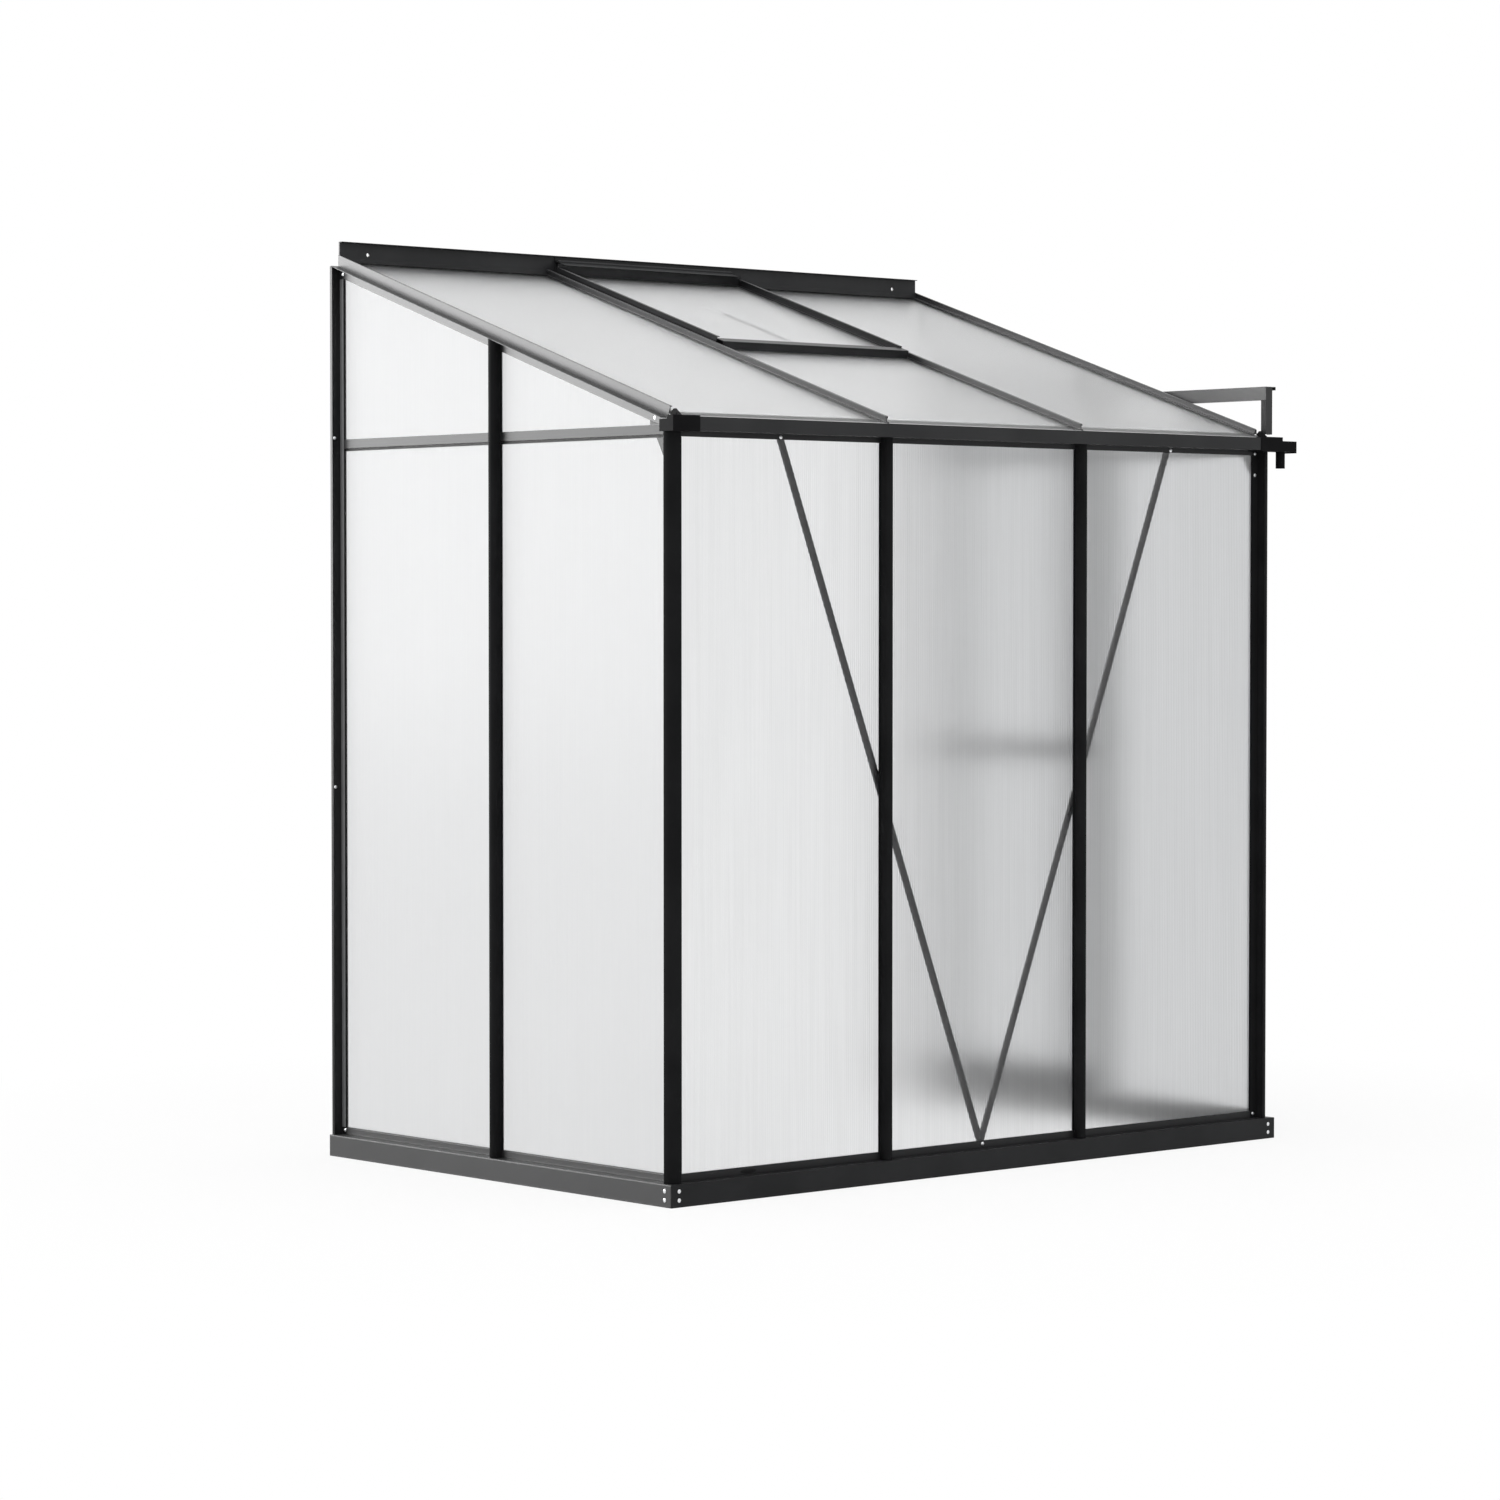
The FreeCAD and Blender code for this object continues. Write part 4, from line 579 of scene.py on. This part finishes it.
# Sliding door.
# Box stiles and rails hold two sheets; two hangers carry it on nylon rollers in a folded track, on a strut.
# A brush along each stile closes the gap to the wall, rubber blocks stop it, and a moulded bow is the handle.

stile_face = 0.943
stile_middles = (-0.010, 0.580)
stile_foot = 0.060
stile_top = 1.750
stile_back = 0.923
brush_depth = 0.0032
brush_width = 0.005
handle_middle = 0.960
handle_half = 0.0515
handle_reach = 0.0200
handle_thick = 0.0070
handle_wide = 0.0110
handle_foot = [(0.0, 0.0), (0.0075, 0.0), (0.0075, 0.0012), (0.0062, 0.0022), (0.0, 0.0022)]
axle_end = [(0.0, 0.0), (0.0045, 0.0), (0.0045, 0.0006), (0.0030, 0.0016), (0.0, 0.0020)]
axle_end_x = 0.9385
axle_height = 1.7755
axle_places = (0.0275, 0.5425)
stop_x = 0.929
stop_under = 1.7666
stop_wide = 0.014
stop_side = 0.017
stop_crown = 0.004
stop_long = 0.020
stop_places = (-0.534, 0.564)


def bow_handle(steps=48, around=20):
    """Bow: the middle line is x = reach sin(t)^(1/2), z = -half cos(t) |cos t|^(-1/2), t from 0 to pi, which
    stands square on the stile; an oval is carried along it."""
    t = np.linspace(0.0, np.pi, steps)
    z = handle_middle - handle_half * np.sign(np.cos(t)) * np.abs(np.cos(t)) ** 0.5
    x = stile_face + handle_reach * np.sin(t) ** 0.5
    line = np.stack([x, np.full_like(x, stile_middles[0]), z], axis=-1)
    ahead = np.gradient(line, axis=0)
    ahead[0] = (1.0, 0.0, 0.0)
    ahead[-1] = (-1.0, 0.0, 0.0)
    ahead /= np.linalg.norm(ahead, axis=1, keepdims=True)
    out = np.cross(ahead, (0.0, 1.0, 0.0))
    a = np.linspace(0.0, 2 * np.pi, around, endpoint=False)[None, :, None]
    across = np.array([0.0, 1.0, 0.0])
    oval = handle_thick / 2 * np.cos(a) * out[:, None] + handle_wide / 2 * np.sin(a) * across
    ends = [list(range(around)), list(range((steps - 1) * around, steps * around))]
    return line[:, None] + oval, [*closed_rings(steps, around).tolist(), *ends]


def brush_pile(name):
    """Brush of black fibres across its strip: fine noise drawn out along X, dull and rough."""
    finish, tree, shader = new_finish(name)
    fibre = mottle(tree, place_on(tree, (200.0, 3000.0, 3000.0)), 1.0, 2.0)
    connect(tree, shader, {
        "Base Color": shade(tree, fibre, (0.006, 0.006, 0.006), (0.03, 0.03, 0.032), 0.3, 0.8),
        "Roughness": 0.9,
        "Normal": bumped(tree, fibre, 0.6, 0.0004),
    })
    return finish


nylon = moulded_plastic("nylon", (0.62, 0.62, 0.58), roughness=0.4, gloss=0.5)
handle_plastic = moulded_plastic("handle_plastic", (0.012, 0.012, 0.013), roughness=0.45, gloss=0.4)
finish_parts(rail_coat, "frame_coat", "door_stile_front", "door_stile_rear", "door_rail_bottom",
             "door_rail_mid", "door_rail_top", "door_hangers")
# The track takes the rafters' lighter, glossier copy of the coat: painted light.
finish_parts(rafter_coat, "frame_coat", "door_track")
finish_parts(gable_rafter_coat, "frame_coat", "track_strut")
finish_parts(nylon, "roller_plastic", "door_roller_front", "door_roller_rear")
handle = make_piece("bow_handle", *bow_handle(), handle_plastic, "black_plastic", "door")
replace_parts(handle, "door_handle")
foot_places = [(stile_face, stile_middles[0], handle_middle + way * handle_half) for way in (-1, 1)]
feet = turned(handle_foot, foot_places, (1.0, 0.0, 0.0))
make_piece("handle_feet", *feet, handle_plastic, "black_plastic", "door")
brush = np.array([(-0.5, 0.0), (0.5, 0.0), (0.36, 1.0), (-0.36, 1.0)]) * (brush_width, brush_depth)
brush_feet = [(stile_back, y, stile_foot) for y in stile_middles]
brush_tops = [(stile_back, y, stile_top) for y in stile_middles]
brushes = drawn(brush, brush_feet, brush_tops, (0.0, 1.0, 0.0), (-1.0, 0.0, 0.0))
make_piece("door_brushes", *brushes, brush_pile("brush_pile"), "black_plastic", "door")
axles = turned(axle_end, [(axle_end_x, y, axle_height) for y in axle_places], (1.0, 0.0, 0.0))
make_piece("axle_ends", *axles, zinc, "bolt_steel", "door")
stop_foot = [(-stop_wide / 2, 0.0), (stop_wide / 2, 0.0)]
stop_outline = np.vstack([half_round(stop_wide, stop_crown) + (0.0, stop_side), stop_foot])
stop_starts = [(stop_x, y, stop_under) for y in stop_places]
stop_ends = [(stop_x, y + stop_long, stop_under) for y in stop_places]
stops = drawn(stop_outline, stop_starts, stop_ends, (1.0, 0.0, 0.0), (0.0, 0.0, 1.0))
make_piece("track_stops", *stops, rubber_and_shade_lines, "black_plastic")


# Bolts.
# Zinc-plated button heads 8 mm across, with a socket, each on a thin washer, through base, sills, corners,
# braces and rafters.

button_head = [(0.0, 0.0), (0.0045, 0.0), (0.0045, 0.0004), (0.0040, 0.0006), (0.0038, 0.0010),
               (0.0030, 0.0016), (0.0018, 0.0019), (0.0012, 0.0019), (0.0011, 0.0010), (0.0, 0.0010)]
base_front_face = -0.6015
base_left_face = -0.9735
base_right_face = 0.9265
base_end = -0.5795
base_bolt_columns = (-0.9515, 0.9045)
base_bolt_heights = (0.0152, 0.0345)
sill_bolt = 0.0588
corner_bolt_columns = (-0.92975, 0.88275)
corner_bolts = (sill_bolt, 1.585, 1.636)
brace_bolt_columns = (-0.6365, 0.5895)
brace_bolt = 1.637
bar_face = -0.572
gable_bolts = [(-0.5155, 1.67158), (0.597, sill_bolt), (0.597, 2.03713)]


def gable_bolt_places(base_face, rail_face):
    """Bolts of one gable: two in the base's front end, then those in its rafter and its wall post."""
    return [(base_face, base_end, z) for z in base_bolt_heights] + [(rail_face, y, z) for y, z in gable_bolts]


front_bolts = [(x, base_front_face, z) for x in base_bolt_columns for z in base_bolt_heights]
front_bolts += [(x, bar_face, z) for x in corner_bolt_columns for z in corner_bolts]
front_bolts += [(x, bar_face, brace_bolt) for x in brace_bolt_columns]
front_bolts += [(brace_foot[0], bar_face, sill_bolt)]
left_bolts = gable_bolt_places(base_left_face, left_rail_face)
right_bolts = gable_bolt_places(base_right_face, right_rail_face)
front_heads = turned(button_head, front_bolts, (0.0, -1.0, 0.0))
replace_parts(make_piece("front_bolts", *front_heads, zinc, "bolt_steel"), "bolt_heads")
make_piece("left_bolts", *turned(button_head, left_bolts, (-1.0, 0.0, 0.0)), zinc, "bolt_steel")
make_piece("right_bolts", *turned(button_head, right_bolts, (1.0, 0.0, 0.0)), zinc, "bolt_steel")


# Floor, light and camera.
# A pale floor that fades into a white surround, a soft even light with a softbox overhead, and the
# photograph's viewpoint. A card behind the left gable is mirrored in the gloss of the frame and of the left
# gable's sheets, and lights nothing else.

floor_far = 40.0
shadow_near = 1.2
shadow_far = 2.6
floor_white = 0.85
room_light = 0.7


def background_rays(tree):
    """1 for rays that show the background: from the camera, off gloss, or through the sheets; otherwise 0."""
    path = add(tree, "ShaderNodeLightPath", {}).outputs
    seen = {0: path["Is Camera Ray"], 1: path["Is Glossy Ray"]}
    looks = add(tree, "ShaderNodeMath", seen, operation="MAXIMUM")
    through = {0: looks.outputs[0], 1: path["Is Transmission Ray"]}
    return add(tree, "ShaderNodeMath", through, operation="MAXIMUM").outputs[0]


def softbox(name, size, power, place, aim):
    """Rectangular lamp of a power in watts at a place, turned so that its face points at aim."""
    lamp = bpy.data.lights.new(name, "AREA")
    lamp.shape = "RECTANGLE"
    lamp.size, lamp.size_y = size
    lamp.energy = power
    box = bpy.data.objects.new(name, lamp)
    box.location = place
    box.rotation_euler = (Vector(place) - Vector(aim)).to_track_quat("Z", "Y").to_euler()
    bpy.context.scene.collection.objects.link(box)
    return box


floor_paint, floor_tree, floor_shader = new_finish("floor_paint")
floor_place = place_on(floor_tree)
floor_grain = mottle(floor_tree, floor_place, 40.0, 4.0)
connect(floor_tree, floor_shader, {
    "Base Color": shade(floor_tree, floor_grain, (0.90, 0.90, 0.90), (0.93, 0.93, 0.93)),
    "Roughness": 0.9,
    "Specular IOR Level": 0.0,
})
distance = add(floor_tree, "ShaderNodeVectorMath", {0: floor_place}, operation="LENGTH").outputs["Value"]
fade = between(floor_tree, distance, floor_white, 1.0, shadow_near, shadow_far)
share = add(floor_tree, "ShaderNodeMath", {0: fade, 1: background_rays(floor_tree)}, operation="MULTIPLY")
white = add(floor_tree, "ShaderNodeEmission", {"Strength": 1.0})
floor_look = {"Fac": share.outputs[0], 1: floor_shader.outputs[0], 2: white.outputs[0]}
floor_mix = add(floor_tree, "ShaderNodeMixShader", floor_look)
floor_tree.links.new(floor_mix.outputs[0], floor_tree.nodes["Material Output"].inputs["Surface"])
floor_mesh = bpy.data.meshes.new("floor")
floor_corners = floor_far * np.array([(-1, -1, 0), (1, -1, 0), (1, 1, 0), (-1, 1, 0)])
floor_mesh.from_pydata(floor_corners, [], [(0, 1, 2, 3)])
floor_mesh.materials.append(floor_paint)
floor = bpy.data.objects.new("floor", floor_mesh)
bpy.context.scene.collection.objects.link(floor)

surround = bpy.data.worlds.new("surround")
bpy.context.scene.world = surround
surround.use_nodes = True
surround_tree = surround.node_tree
level = between(surround_tree, background_rays(surround_tree), room_light, 1.0)
connect(surround_tree, surround_tree.nodes["Background"], {"Color": (1.0, 1.0, 1.0, 1.0), "Strength": level})

mirror_card = softbox("mirror_card", size=(4.6, 4.0), power=760.0, place=(-3.75, 3.85, 2.75),
                      aim=(-0.35, 0.55, 1.5))
mirror_card.visible_diffuse = False
mirror_card.visible_transmission = False
unlit = ("panel_front", "panel_right", "panel_over", "panel_roof", "vent_panel", "door_panel", "floor")
mirrored = bpy.data.collections.new("mirrored")
for thing in bpy.context.scene.objects:
    if thing.type == "MESH" and not thing.name.startswith(unlit):
        mirrored.objects.link(thing)
mirror_card.light_linking.receiver_collection = mirrored
softbox("overhead_softbox", size=(3.5, 3.5), power=110.0, place=(-0.8, -0.6, 5.0), aim=(0.0, 0.0, 0.0))

camera_lens = bpy.data.cameras.new("camera")
camera_lens.sensor_width = 36.0
camera_lens.lens = 106.78
camera_lens.clip_end = 200.0
camera = bpy.data.objects.new("camera", camera_lens)
camera.location = (-7.0604, -7.7230, 1.2708)
camera.rotation_euler = (math.radians(88.16), 0.0, math.radians(-41.538))
bpy.context.scene.collection.objects.link(camera)
bpy.context.scene.camera = camera
bpy.context.scene.view_settings.view_transform = "Standard"
